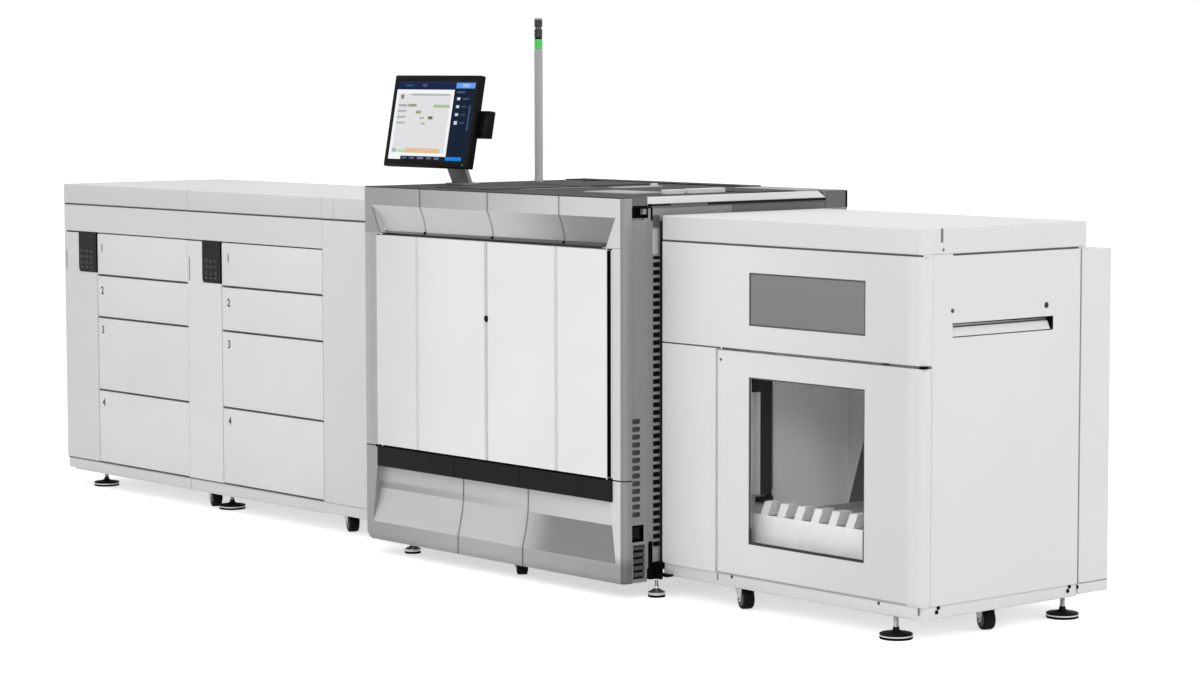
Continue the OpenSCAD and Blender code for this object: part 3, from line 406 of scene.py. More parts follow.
def metal(name, grey, rough):
    """Bare or plated metal with drawn lines."""
    made, tree, shader = blank(name)
    shader.inputs["Metallic"].default_value = 1.0
    drawn = effect(tree, "drawn_lines", Lines=700.0)
    settled = dusted(tree, shader, tinted(tree, shade((grey,) * 3), drawn["Tone"]), 0.12)
    patchy = spread(tree, noise(tree, 20.0, 4.0), 0.3, 0.7, rough - 0.05, rough + 0.08)
    tree.links.new(maths(tree, "ADD", patchy, settled), shader.inputs["Roughness"])
    relief(tree, shader, drawn["Height"], 0.12, 0.0002)
    return made


def sloping(tree):
    """Mask that is 1 on the sloping floors of the hollows and 0 on upright and level faces; the
    hollows' painted shade goes there.
    """
    steep = maths(tree, "ABSOLUTE", facing(tree, "Z", "True Normal"))
    across = maths(tree, "ABSOLUTE", facing(tree, "X", "True Normal"))
    return times(tree, spread(tree, steep, 0.05, 0.09, 0.0, 1.0),
                 spread(tree, across, 0.3, 0.5, 1.0, 0.0), spread(tree, steep, 0.5, 0.6, 1.0, 0.0))


def self_shade(tree):
    """Painted shade and light of the frame's faces: its turned side and foot are painted darker,
    its set-back band painted lighter.
    """
    turned_to = facing(tree, "X")
    corner = maths(tree, "SUBTRACT", 1.0, times(
        tree, spread(tree, turned_to, 0.12, 0.35, 0.0, 1.0), ramp(tree, "X", 104, 112, 0.30, 0.64)))
    side = spread(tree, turned_to, 0.6, 1.0, 1.0, 1.25)
    foot = maths(tree, "SUBTRACT", 1.0, times(
        tree, ramp(tree, "Z", 110, 160, 1.0, 0.0), ramp(tree, "X", 300, 1450, 0.0, 0.50)))
    set_back = maths(tree, "ADD", 1.0, times(
        tree, ramp(tree, "Z", 270, 285, 0.0, 1.0), ramp(tree, "Z", 341, 345, 1.0, 0.0),
        ramp(tree, "Y", 15, 25, 0.0, 1.0), ramp(tree, "X", 0, 1100, 0.48, 0.0)))
    left_post = maths(tree, "ADD", 1.0, times(
        tree, ramp(tree, "X", 78, 80, 0.30, 0.0), ramp(tree, "Z", 1226, 1230, 1.0, 0.0),
        ramp(tree, "Z", 414, 418, 0.0, 1.0)))
    rim = ramp(tree, "Z", 58, 82, 0.80, 1.0)
    return times(tree, corner, side, foot, rim, set_back, left_post)


def silver_finish(name, level):
    """Metallic silver with painted reflection, darker towards the left on its faces and towards the
    right in its hollows, and with the frame's painted shade and light; its flakes give a fine
    grain.
    """
    made, tree, shader = blank(name)
    shader.inputs["Metallic"].default_value = 0.25
    skin = effect(tree, "coat_grain", Grain=0.0011, Drift=0.015)
    # painted reflection on the faces, darker towards the left, times the frame's painted shade and
    # light
    face = times(tree, tone_along(tree, 0, 1503, 0.53, 1.06), self_shade(tree))
    # painted reflection and shade in the hollows, darker towards the right
    hollow = mix(tree, "FLOAT", ramp(tree, "Z", 600, 700, 0.0, 1.0),
                 tone_along(tree, 880, 1120, 0.92, 0.36), tone_along(tree, 700, 1350, 0.92, 0.36))
    # the deep part of the upper scoop, which takes the hollows' painted shade
    sunk = times(tree, ramp(tree, "Y", 12, 16, 0.0, 1.0), ramp(tree, "Z", 1230, 1234, 0.0, 1.0),
                 ramp(tree, "Z", 1340, 1350, 1.0, 0.0), ramp(tree, "X", 1462, 1470, 1.0, 0.0))
    tone = mix(tree, "FLOAT", maths(tree, "MAXIMUM", sloping(tree), sunk), face, hollow)
    sparkle = add(
        tree, "ShaderNodeTexVoronoi", None, {"Vector": place_of(tree), "Scale": 1400.0}
    ).outputs["Color"]
    grain = add(tree, "ShaderNodeSeparateColor", None, {"Color": sparkle}).outputs["Red"]
    tone = times(tree, tone, skin["Tone"], spread(tree, grain, 0.0, 1.0, 0.96, 1.04))
    base = tinted(tree, [part * level for part in colours().silver], tone)
    settled = dusted(tree, shader, base, 0.12)
    gloss = maths(tree, "ADD", skin["Gloss"], 0.42)
    tree.links.new(maths(tree, "ADD", gloss, settled, True), shader.inputs["Roughness"])
    relief(tree, shader, skin["Height"], 0.15, 0.0002)
    return made


def clear_pane_finish(name):
    """Clear pane that lets light through to what stands behind it."""
    made, tree, shader = blank(name)
    shader.inputs["Base Color"].default_value = (0.95, 0.955, 0.955, 1.0)
    shader.inputs["Transmission Weight"].default_value = 1.0
    shader.inputs["IOR"].default_value = 1.08
    smeared(tree, shader, 7.0, 0.015, 0.07, 0.4)
    through = add(tree, "ShaderNodeBsdfTransparent", None, {"Color": (0.96, 0.965, 0.965, 1.0)})
    path = add(tree, "ShaderNodeLightPath").outputs["Is Shadow Ray"]
    mixed = add(tree, "ShaderNodeMixShader", None, {0: path})
    tree.links.new(shader.outputs[0], mixed.inputs[1])
    tree.links.new(through.outputs[0], mixed.inputs[2])
    tree.links.new(mixed.outputs[0], tree.nodes["Material Output"].inputs["Surface"])
    return made


def film_pane_finish(name):
    """Grey film behind the upper window."""
    made, tree, shader = blank(name)
    shader.inputs["Coat Weight"].default_value = 0.5
    shader.inputs["Coat Roughness"].default_value = 0.06
    # lighter towards the top: painted light
    base = tinted(tree, shade((0.44, 0.44, 0.445)), ramp(tree, "Z", 950, 1200, 0.95, 1.06))
    tree.links.new(base, shader.inputs["Base Color"])
    smeared(tree, shader, 5.0, 0.22, 0.34)
    return made


def lamp_finish(name, colour, glow):
    """Ribbed plastic lens of the signal tower."""
    made, tree, shader = blank(name)
    wave = maths(tree, "SINE", times(tree, part_of(tree, place_of(tree), "Z"), 2200.0))
    base = tinted(tree, colour, spread(tree, wave, -1.0, 1.0, 0.82, 1.12))
    tree.links.new(base, shader.inputs["Base Color"])
    tree.links.new(base, shader.inputs["Emission Color"])
    shader.inputs["Emission Strength"].default_value = glow
    shader.inputs["Roughness"].default_value = 0.22
    relief(tree, shader, wave, 0.3, 0.0004)
    return made


def picture_finish(name):
    """Lit display: the piece's own colours behind a fine dot grid and smooth glass."""
    made, tree, shader = blank(name)
    painted = add(tree, "ShaderNodeVertexColor", {"layer_name": "Picture"}).outputs["Color"]
    dots = maths(tree, "SINE", times(tree, part_of(tree, place_of(tree), "X"), 9000.0))
    lit = tinted(tree, painted, spread(tree, dots, -1.0, 1.0, 0.94, 1.03))
    tree.links.new(lit, shader.inputs["Emission Color"])
    shader.inputs["Emission Strength"].default_value = 0.99
    shader.inputs["Specular IOR Level"].default_value = 0.01
    shader.inputs["Base Color"].default_value = (0.008, 0.008, 0.010, 1.0)
    smeared(tree, shader, 18.0, 0.12, 0.28)
    return made


# sprayed and moulded finishes: display grey, display colour or name of a colour setting,
# roughness, and what differs from the usual coat
COATS = {
    "cover_coat": ("cover", 0.46, {"drift": 0.01, "rub": 0.0}),
    # the covers' paint made lighter, darker towards the stacker's right end and lighter at its
    # rounded corner: painted light
    "front_coat": ("cover", 0.46, {"drift": 0.01, "rub": 0.0, "level": 1.10, "runs": (
        (1700, 2690, 1.0, 0.84), (2692, 2722, 1.0, 1.07))}),
    "bright_lid": (0.86, 0.48, {"drift": 0.008, "rub": 0.0, "dust": 0.05}),
    "lid_coat": ("lid", 0.48, {"drift": 0.01, "rub": 0.0}),
    "lid_grey": (0.62, 0.5, {"shine": 0.2}),
    "drawer_coat": ("drawer", 0.44, {"rub": 0.0}),
    # door paint darker towards the left door's left edge: painted shade
    "door_coat": ("door", 0.36, {"grain": 0.0024, "peel": 0.12, "rub": 0.0, "runs": (
        (82, 620, 0.86, 1.0),)}),
    # lip under the scoop: painted shadow, lighter towards the left
    "lip_coat": (0.42, 0.6, {"shine": 0.1, "runs": ((100, 1440, 1.5, 0.7),)}),
    "groove_coat": (0.84, 0.5, {"rub": 0.0}),
    "housing_coat": ("housing", 0.6, {"peel": 0.4, "rub": 0.0, "shine": 0.25}),
    "dark_coat": ("dark", 0.5, {"peel": 0.4, "shine": 0.2}),
    "top_coat": ("top", 0.75, {"peel": 0.5, "rub": 0.0, "dust": 0.03, "shine": 0.08}),
    "arm_coat": (0.64, 0.45, {"shine": 0.25}),
    "inner_coat": ((0.30, 0.30, 0.31), 0.5, {"peel": 0.4}),
    "lining_coat": ("lining", 0.6, {"shine": 0.15, "dust": 0.04}),
    "back_lining": (0.80, 0.6, {"shine": 0.15}),
    "tray_coat": (0.82, 0.45, {}),
    "deck_coat": (0.52, 0.5, {"shine": 0.2}),
    "moulded_black": ("black", 0.45, {
        "grain": 0.0009, "peel": 0.3, "rub": 0.15, "dust": 0.01, "shine": 0.07}),
    "kick_black": (0.065, 0.5, {"peel": 0.3, "rub": 0.0, "dust": 0.02, "shine": 0.1}),
    "rail_black": (0.19, 0.5, {"rub": 0.0, "dust": 0.0, "shine": 0.1}),
    "bright_white": (0.99, 0.5, {"rub": 0.0, "dust": 0.0}),
    "gloss_black": (0.06, 0.3, {"peel": 0.04, "rub": 0.1, "dust": 0.02, "shine": 0.12}),
    "deep_black": (0.03, 0.7, {"rub": 0.0, "dust": 0.01, "shine": 0.03}),
    "seam_black": (0.12, 0.7, {"rub": 0.0, "dust": 0.0, "shine": 0.05}),
    "seam_dark": (0.36, 0.7, {"rub": 0.0, "dust": 0.0, "shine": 0.05}),
    "seam_grey": (0.70, 0.6, {"rub": 0.0, "shine": 0.1}),
    "seam_mid": (0.50, 0.6, {"rub": 0.0, "shine": 0.1}),
    "edge_coat": (0.54, 0.6, {"peel": 0.4, "shine": 0.2}),
    "foot_coat": (0.60, 0.5, {"shine": 0.2}),
    "key_plastic": ((0.20, 0.20, 0.21), 0.38, {"dust": 0.02, "shine": 0.15}),
    "ink_grey": ((0.36, 0.36, 0.37), 0.6, {"dust": 0.0, "shine": 0.1}),
    "hub_grey": (0.30, 0.5, {"shine": 0.2}),
    "light_metal": (0.74, 0.35, {"metallic": 0.2}),
    "zinc": (0.80, 0.35, {"dust": 0.05, "metallic": 0.3}),
    "trim": (0.84, 0.36, {"grain": 0.0008, "peel": 0.1, "metallic": 0.3}),
    "pole_coat": (0.70, 0.4, {"dust": 0.0, "shine": 0.3}),
    "rubber": (0.05, 0.8, {
        "grain": 0.0007, "peel": 0.6, "rub": 0.0, "dust": 0.02, "shine": 0.03}),
    "tyre": ((0.055, 0.055, 0.058), 0.65, {
        "peel": 0.4, "rub": 0.05, "dust": 0.03, "shine": 0.06}),
    "lever_green": ((0.25, 0.55, 0.36), 0.35, {"dust": 0.0}),
    "lever_blue": ((0.20, 0.38, 0.62), 0.35, {"dust": 0.0}),
    "status_lens": ((0.60, 0.60, 0.61), 0.25, {"peel": 0.05, "dust": 0.0}),
}

SPECIALS = {
    "silver_coat": lambda name: silver_finish(name, 1.0),
    # darker silver: painted shade of the frame's seam grooves
    "seam_silver": lambda name: silver_finish(name, 0.80),
    # a little darker silver: painted shade on the left post's right part
    "post_silver": lambda name: silver_finish(name, 0.95),
    "plated_steel": lambda name: metal(name, 0.80, 0.3),
    "dull_steel": lambda name: metal(name, 0.42, 0.4),
    "clear_pane": clear_pane_finish,
    "film_pane": film_pane_finish,
    "lit_display": picture_finish,
    "lit_lens": lambda name: lamp_finish(name, colours().lamp, 0.4),
    "dark_lens": lambda name: lamp_finish(name, shade((0.05, 0.045, 0.045)), 0.0),
    "lit_green": lambda name: lamp_finish(name, colours().lamp, 0.5),
}


def sprayed(name):
    """Coat from its row in the table."""
    colour, rough, more = COATS[name]
    if isinstance(colour, str):
        colour = getattr(colours(), colour)
    else:
        colour = shade(colour if isinstance(colour, tuple) else (colour,) * 3)
    more = dict(more)
    level = more.pop("level", 1.0)
    return coated(name, [part * level for part in colour], rough, **more)


def finish(name):
    """The finish of that name, made when it is first used."""
    return bpy.data.materials.get(name) or SPECIALS.get(name, sprayed)(name)


# ---------------------------------------------------------------- modelling


def clear():
    if bpy.context.mode != "OBJECT":
        bpy.ops.object.mode_set(mode="OBJECT")
    bpy.ops.object.select_all(action="DESELECT")


def focus(piece):
    clear()
    piece.select_set(True)
    bpy.context.view_layer.objects.active = piece


@contextmanager
def shaping(piece, kind="FACE"):
    """Edit mode on one piece, with nothing selected at first."""
    focus(piece)
    bpy.ops.object.mode_set(mode="EDIT")
    bpy.ops.mesh.select_mode(type=kind)
    bpy.ops.mesh.select_all(action="DESELECT")
    yield
    bpy.ops.object.mode_set(mode="OBJECT")


def pick(test, kind="faces"):
    """Selects the faces, edges or vertices of the piece being shaped that pass the test."""
    mesh = bpy.context.object.data
    shape = bmesh.from_edit_mesh(mesh)
    for item in getattr(shape, kind):
        item.select_set(bool(test(item)))
    bmesh.update_edit_mesh(mesh)


def looks(direction):
    """Test for faces that look in a direction."""
    aim = Vector(direction)
    return lambda face: face.normal.dot(aim) > 0.9


def settle(name, coat=None):
    """Names the new object, puts its place into its mesh and gives it a finish."""
    made = bpy.context.object
    made.name = made.data.name = name
    bpy.ops.object.transform_apply(location=True, rotation=True, scale=True)
    if coat:
        dress(made, coat)
    return made


def dress(piece, coat):
    piece.data.materials.clear()
    piece.data.materials.append(finish(coat))


def slab(name, x, y, z, coat, edge=0.0, segments=2):
    """Rounded block between pairs of millimetres."""
    clear()
    low, high = at(x[0], y[0], z[0]), at(x[1], y[1], z[1])
    bpy.ops.mesh.primitive_cube_add(size=1, location=(low + high) / 2, scale=high - low)
    made = settle(name, coat)
    if edge:
        ease(made, edge, segments)
    return made


TURNS = {"X": (0, math.pi / 2, 0), "Y": (math.pi / 2, 0, 0), "Z": (0, 0, 0)}


def drum(name, centre, radius, length, axis, coat, edge=0.0, sides=32):
    """Rounded cylinder about a centre."""
    clear()
    bpy.ops.mesh.primitive_cylinder_add(
        vertices=sides, radius=radius * MM, depth=length * MM, location=at(*centre),
        rotation=TURNS[axis],
    )
    made = settle(name, coat)
    if edge:
        ease(made, edge, 2, soft=360 / sides + 3)
    return made


def turned(name, centre, steps, coat, sides=40):
    """Turned piece about an upright axis, from (radius, height) steps upwards."""
    clear()
    radius, height = steps[0]
    foot = at(centre[0], centre[1], centre[2] + height)
    bpy.ops.mesh.primitive_circle_add(
        vertices=sides, radius=radius * MM, location=foot, fill_type="NGON"
    )
    made = settle(name, coat)
    with shaping(made):
        bpy.ops.mesh.select_all(action="SELECT")
        for new_radius, new_height in steps[1:]:
            bpy.ops.mesh.extrude_region_move(
                TRANSFORM_OT_translate={"value": (0, 0, (new_height - height) * MM)}
            )
            ratio = new_radius / radius
            bpy.ops.transform.resize(
                value=(ratio, ratio, 1),
                center_override=at(centre[0], centre[1], centre[2] + new_height),
            )
            radius, height = new_radius, new_height
        bpy.ops.mesh.select_all(action="SELECT")
        bpy.ops.mesh.normals_make_consistent(inside=False)
    smooth(made)
    return made


def smooth(piece, angle=32):
    focus(piece)
    bpy.ops.object.shade_smooth_by_angle(angle=math.radians(angle))


def apply_last(piece):
    bpy.ops.object.modifier_apply(modifier=piece.modifiers[-1].name)


def ease(piece, radius, segments=2, angle=35, soft=14):
    """Rounds the sharp edges of a piece by a radius in millimetres."""
    focus(piece)
    bpy.ops.object.modifier_add(type="BEVEL")
    edge = piece.modifiers[-1]
    edge.width, edge.segments = radius * MM, segments
    edge.limit_method, edge.angle_limit = "ANGLE", math.radians(angle)
    edge.use_clamp_overlap = True
    apply_last(piece)
    smooth(piece, soft)


def repeat(piece, count, x=0.0, y=0.0, z=0.0):
    """Row of copies at a step in millimetres."""
    focus(piece)
    bpy.ops.object.modifier_add(type="ARRAY")
    row = piece.modifiers[-1]
    row.count, row.use_relative_offset, row.use_constant_offset = count, False, True
    row.constant_offset_displace = (x * MM, y * MM, z * MM)
    apply_last(piece)
    return piece


def cut(piece, tool):
    """Cuts a tool's shape out of a piece, leaves the tool's finish in the cut, removes the tool."""
    focus(piece)
    bpy.ops.object.modifier_add(type="BOOLEAN")
    hole = piece.modifiers[-1]
    hole.operation, hole.solver, hole.object = "DIFFERENCE", "EXACT", tool
    hole.material_mode = "TRANSFER"
    apply_last(piece)
    bpy.data.objects.remove(tool)


def blocks(*rows):
    """Blocks from rows of x, y, z, finish and edge radius."""
    return [slab("block", *row) for row in rows]


def notch(piece, x, y, z, coat):
    """Cuts a block out of a piece."""
    cut(piece, slab("tool", x, y, z, coat))


def sink(piece, direction, insets, shift):
    """Insets the faces that look in a direction by millimetres, then moves them by metres."""
    with shaping(piece):
        pick(looks(direction))
        for width in insets:
            bpy.ops.mesh.inset(thickness=width * MM)
        bpy.ops.transform.translate(value=shift)


def nudge(piece, test, shift, kind="verts"):
    """Moves the vertices, or edges, that pass a test."""
    with shaping(piece, "VERT" if kind == "verts" else "EDGE"):
        pick(test, kind)
        bpy.ops.transform.translate(value=shift)


def round_off(piece, axis, radius, segments, test=lambda edge: True):
    """Rounds a block's edges along an axis, by a radius in metres."""
    place = "xyz".index(axis)
    with shaping(piece, "EDGE"):
        pick(lambda edge: test(edge) and abs(
            edge.verts[0].co[place] - edge.verts[1].co[place]) > MM, "edges")
        bpy.ops.mesh.bevel(offset=radius, segments=segments, affect="EDGES")


def paint(piece, test, coat):
    """Gives the faces that pass a test another finish."""
    piece.data.materials.append(finish(coat))
    with shaping(piece):
        pick(test)
        piece.active_material_index = len(piece.data.materials) - 1
        bpy.ops.object.material_slot_assign()


def gather(name, parts):
    """Joins parts into one piece."""
    clear()
    for part in parts:
        part.select_set(True)
    bpy.context.view_layer.objects.active = parts[0]
    bpy.ops.object.join()
    made = bpy.context.object
    made.name = made.data.name = name
    return made


def moved(piece, name, x=0.0, y=0.0, z=0.0, turn=0.0, about=None):
    """Copy with its own mesh, moved in millimetres, or turned about an upright axis first."""
    focus(piece)
    bpy.ops.object.duplicate(linked=False)
    made = bpy.context.object
    shift = Matrix.Translation((x * MM, y * MM, z * MM))
    if turn:
        pivot = Matrix.Translation(at(*about))
        shift = shift @ pivot @ Matrix.Rotation(math.radians(turn), 4, "Z") @ pivot.inverted()
    made.matrix_world = shift
    return settle(name)


def tip(piece, about, degrees, axis="X"):
    """Turns a piece about a point."""
    focus(piece)
    pivot = Matrix.Translation(at(*about))
    piece.matrix_world = (
        pivot @ Matrix.Rotation(math.radians(degrees), 4, axis) @ pivot.inverted()
    )
    bpy.ops.object.transform_apply(location=True, rotation=True, scale=True)
    return piece


def fit(piece, slot, body=LINE, *nodes):
    """Hangs a piece on a body and hides the nodes it replaces; the material slot argument is not
    used.
    """
    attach(piece, body)
    if nodes:
        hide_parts(*nodes)
    return piece


def shell(node, coat, edge, soft=14):
    """The node's own solid, merged and given rounded edges and a finish."""
    focus(frame["nodes"][node])
    bpy.ops.object.duplicate(linked=False)
    made = bpy.context.object
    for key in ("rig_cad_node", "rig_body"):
        if key in made:
            del made[key]
    bpy.ops.object.parent_clear(type="CLEAR_KEEP_TRANSFORM")
    made.name = made.data.name = node + "_shell"
    bpy.ops.mesh.customdata_custom_splitnormals_clear()
    with shaping(made):
        bpy.ops.mesh.select_all(action="SELECT")
        bpy.ops.mesh.remove_doubles(threshold=0.00001)
        bpy.ops.mesh.dissolve_limited(angle_limit=math.radians(0.4))
    dress(made, coat)
    if edge:
        ease(made, edge, soft=soft)
    else:
        smooth(made, soft)
    return fit(made, SLOT[node], BODY[node], node)


def edge_mm(kind):
    return getattr(sizes(), kind) / MM


def grooved(node, coat, *grooves, edge=None, angle=50):
    """A shell with blocks cut out of it, its edges rounded afterwards."""
    made = shell(node, coat, 0)
    for groove in grooves:
        notch(made, *groove)
    ease(made, edge or edge_mm("panel_edge"), 2, angle)
    return made


def block_set(name, slot, *rows):
    """Blocks joined into one fixed piece."""
    return fit(gather(name, blocks(*rows)), slot)


def span(node):
    """Limits of a node in millimetres: along, into and above."""
    low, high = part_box(node)
    return (
        ((low.x - ENGINE_LEFT) / MM, (high.x - ENGINE_LEFT) / MM),
        ((low.y - DOOR_FACE) / MM, (high.y - DOOR_FACE) / MM),
        (low.z / MM, high.z / MM),
    )


def numeral(name, text, x, y, z, coat):
    """Raised number with its lower left corner at x and z, on a face at y."""
    clear()
    bpy.ops.object.text_add(location=at(x, y, z), rotation=(math.pi / 2, 0, 0))
    written = bpy.context.object
    written.data.body, written.data.size = text, sizes().numeral
    written.data.extrude, written.data.offset = 0.0003, 0.0011
    bpy.ops.object.convert(target="MESH")
    made = settle(name, coat)
    with shaping(made):
        bpy.ops.mesh.select_all(action="SELECT")
        bpy.ops.mesh.remove_doubles(threshold=0.00001)
    return made


def slice_up(piece, axis, places):
    """Divides a piece's faces at places along an axis, in metres."""
    normal = Vector([float(letter == axis) for letter in "xyz"])
    with shaping(piece):
        for place in places:
            bpy.ops.mesh.select_all(action="SELECT")
            bpy.ops.mesh.bisect(plane_co=normal * place, plane_no=normal)


def band(piece, low, high, coat, axis="x"):
    """Gives a strip of a piece, between two millimetre limits, another finish."""
    place = "xyz".index(axis)
    ends = [at(low, low, low)[place], at(high, high, high)[place]]
    slice_up(piece, axis, ends)
    paint(piece, lambda face: ends[0] < face.calc_center_median()[place] < ends[1], coat)


def ring(x, z, wide, y, coat):
    """Frame of four strips round an opening, its outer limits x and z."""
    return blocks(
        (x, y, (z[0], z[0] + wide), coat, 0.6),
        (x, y, (z[1] - wide, z[1]), coat, 0.6),
        ((x[0], x[0] + wide), y, (z[0] + wide, z[1] - wide), coat, 0.6),
        ((x[1] - wide, x[1]), y, (z[0] + wide, z[1] - wide), coat, 0.6),
    )


def copies(build, places):
    """Builds a piece at the first place and copies it to the others."""
    first = build(places[0])
    return [first, *(
        moved(first, first.name, *[b - a for a, b in zip(places[0], place)])
        for place in places[1:])]


def screws(name, places, radius, coat, proud=1.2, axis="Y"):
    """Round screw heads with a recess, at places on a face."""
    def head(place):
        made = drum(name, place, radius, proud * 2, axis, coat, proud * 0.45, 20)
        with shaping(made):
            pick(lambda face: len(face.verts) > 8)
            bpy.ops.mesh.inset(thickness=radius * 0.45 * MM)
            bpy.ops.mesh.extrude_region_shrink_fatten(
                TRANSFORM_OT_shrink_fatten={"value": -proud * 0.8 * MM}
            )
        return made

    return gather(name, copies(head, places))


# ---------------------------------------------------------------- operators


class PrinterOperator(bpy.types.Operator):
    """Base of the printer's operators"""

    bl_options = {"REGISTER", "UNDO"}

    def execute(self, context):
        self.make()
        return {"FINISHED"}


class PRINTER_OT_shells(PrinterOperator):
    """Gives the sheet covers of the paper module, the engine and the stacker their finish"""

    bl_idname = "printer.shells"
    bl_label = "Cover shells"

    def make(self):
        panel = edge_mm("panel_edge")
        groups = (
            ("cover_coat", panel, (
                "feeder_right_cabinet", "feeder_back_housing", "feeder_upper_housing",
                "stacker_base", "stacker_back_housing", "stacker_upper_housing")),
            ("front_coat", panel, ("stacker_left_panel", "stacker_upper_panel")),
            ("lid_coat", panel, ("feeder_top_cover",)),
            ("kick_black", 0, ("kick_strip", "hinge_strip")),
            ("inner_coat", 1.0, ("inner_cover",)),
            ("plated_steel", 0.5, ("drawer_runners", "door_pivots")),
        )
        for coat, edge, nodes in groups:
            for node in nodes:
                shell(node, coat, edge)
        shell("docking_collars", "moulded_black", 1.0, 32)
        shell("engine_right_post", "silver_coat", panel, 20)
        post = shell("engine_left_post", "silver_coat", panel, 20)
        # the left post's right part in darker silver: painted shade
        band(post, 36, 77.5, "post_silver")
        fit(slab("post_strip", (35, 42), (6.3, 9), (419, 1228), "post_silver"), "silver_paint")
        grooved("feeder_end_panel", "cover_coat",
                ((-2484, -2390), (190, 199), (1128, 1134), "seam_dark"),
                ((-2488, -2390), (190, 199), (117, 123), "seam_dark"))
        for node, coat in (("feeder_left_column", "cover_coat"),
                           ("feeder_middle_column", "drawer_coat")):
            column = grooved(node, coat, ((-2600, -500), (190, 199), (117, 123), "seam_dark"))
            band(column, 400, 1100, "cover_coat", "y")
        grooved("feeder_base", "cover_coat",
                ((-1515, -1511), (190, 200), (70, 118.5), "seam_grey"))
        flange = slab("base_flange", (-2450, -544), (199, 202), (69, 77), "cover_coat", 1.0)
        fit(flange, "cover_paint")
        self.seams()

    def seams(self):
        """Dark strips in the recessed seams of the two cabinets."""
        high, low = (1249.6, 1254.4), (1128.6, 1133.4)
        strips = blocks(
            ((-2503.5, -6.5), (194.5, 1021.5), high, "seam_dark"),
            ((1519.5, 2742), (174.5, 954.5), high, "seam_dark"),
            ((-2396, -2236), (195, 200), low, "seam_dark"),
            ((-1512, -1264), (195, 200), low, "seam_dark"),
        )
        for strip in strips:
            with shaping(strip):
                pick(lambda face: abs(face.normal.z) > 0.9)
                bpy.ops.mesh.inset(thickness=0.002)
        fit(gather("cabinet_seams", strips), "black_plastic")


class PRINTER_OT_drawers(PrinterOperator):
    """Finishes the eight drawers: fronts, numbers, lift plates and paper guides"""

    bl_idname = "printer.drawers"
    bl_label = "Drawers"

    def make(self):
        for bay, label_x in (("a", -2203), ("b", -1219)):
            for number in (1, 2, 3, 4):
                node = f"drawer_{bay}{number}"
                shell(node, "drawer_coat", edge_mm("panel_edge"))
                x, y, z = span(node)
                rise = 78 if number < 3 else 66
                label = numeral(
                    f"{node}_number", str(number), label_x, y[0], z[1] - rise, "ink_grey")
                fit(label, SLOT[node], BODY[node])
                grip = slab(f"{node}_grip", (x[0] + 3, x[1] - 3), (y[0] - 0.4, y[0] + 3),
                            (z[0] - 0.6, z[0] + 4), "seam_dark", 1.2)
                fit(grip, SLOT[node], BODY[node])
                fit(self.fittings(node, x, y, z, 120 if number < 3 else 250),
                    "bright_steel", BODY[node])

    def fittings(self, node, x, y, z, height):
        """Lift plate, two side guides and the end guide inside a tray."""
        x0, x1, y0, floor = x[0] + 20, x[1] - 20, y[0] + 32, z[0] + 20
        plate = slab("plate", (x0 + 4, x1 - 4), (y0, y0 + 530), (floor, floor + 3), "plated_steel")
        sink(plate, (0, 0, 1), (20, 3), (0, 0, -0.0018))
        ease(plate, 0.6)
        rise = (floor + 3.2, floor + height - 26)
        guides = blocks(*[
            (along, into, rise, "moulded_black", 2.5) for along, into in (
                ((x0 + 22, x0 + 34), (y0 + 90, y0 + 330)),
                ((x1 - 34, x1 - 22), (y0 + 90, y0 + 330)),
                ((x0 + 250, x0 + 400), (y0 + 470, y0 + 486)))])
        return gather(f"{node}_fittings", [plate, *guides])


class PRINTER_OT_paper_module(PrinterOperator):
    """Adds the keys and status lights of the paper input module"""

    bl_idname = "printer.paper_module"
    bl_label = "Paper input module"

    def make(self):
        shell("control_panels", "gloss_black", 1.2)
        for name, x0, x1 in (("panel_a", -2387, -2235), ("panel_b", -1399, -1263)):
            fit(self.keys(name, x0, x1), "black_plastic")
        for name, x0, z0, z1 in (("left", -2490, 960, 1050), ("middle", -1503, 957, 1059)):
            bar = slab(f"status_bar_{name}", (x0, x0 + 9), (192.2, 194), (z0, z1), "status_lens")
            round_off(bar, "y", 0.0042, 5)
            smooth(bar)
            fit(bar, "black_plastic")

    def keys(self, name, x0, x1):
        """Display and rows of keys on a control panel."""
        pitch = (x1 - x0 - 36) / 3
        key_w = pitch - 10
        glass = slab("glass", (x0 + 16, x1 - 14), (189.0, 191), (1076, 1116), "gloss_black", 0.8)
        with shaping(glass):
            pick(lambda face: face.normal.y < -0.9 and face.calc_area() > 0.0005)
            bpy.ops.mesh.inset(thickness=0.003)
            bpy.ops.transform.translate(value=(0, 0.0006, 0))
        key = slab("key", (x0 + 21, x0 + 21 + key_w), (188.7, 191), (992, 1006),
                   "key_plastic", 0.9)
        repeat(repeat(key, 3, x=pitch), 3, z=25)
        lamp = drum("lamp", (x0 + 21 + key_w / 2, 189.6, 978), 2.6, 2.4, "Y", "status_lens",
                    0.5, 16)
        repeat(lamp, 3, x=pitch)
        return gather(f"{name}_keys", [glass, key, lamp])


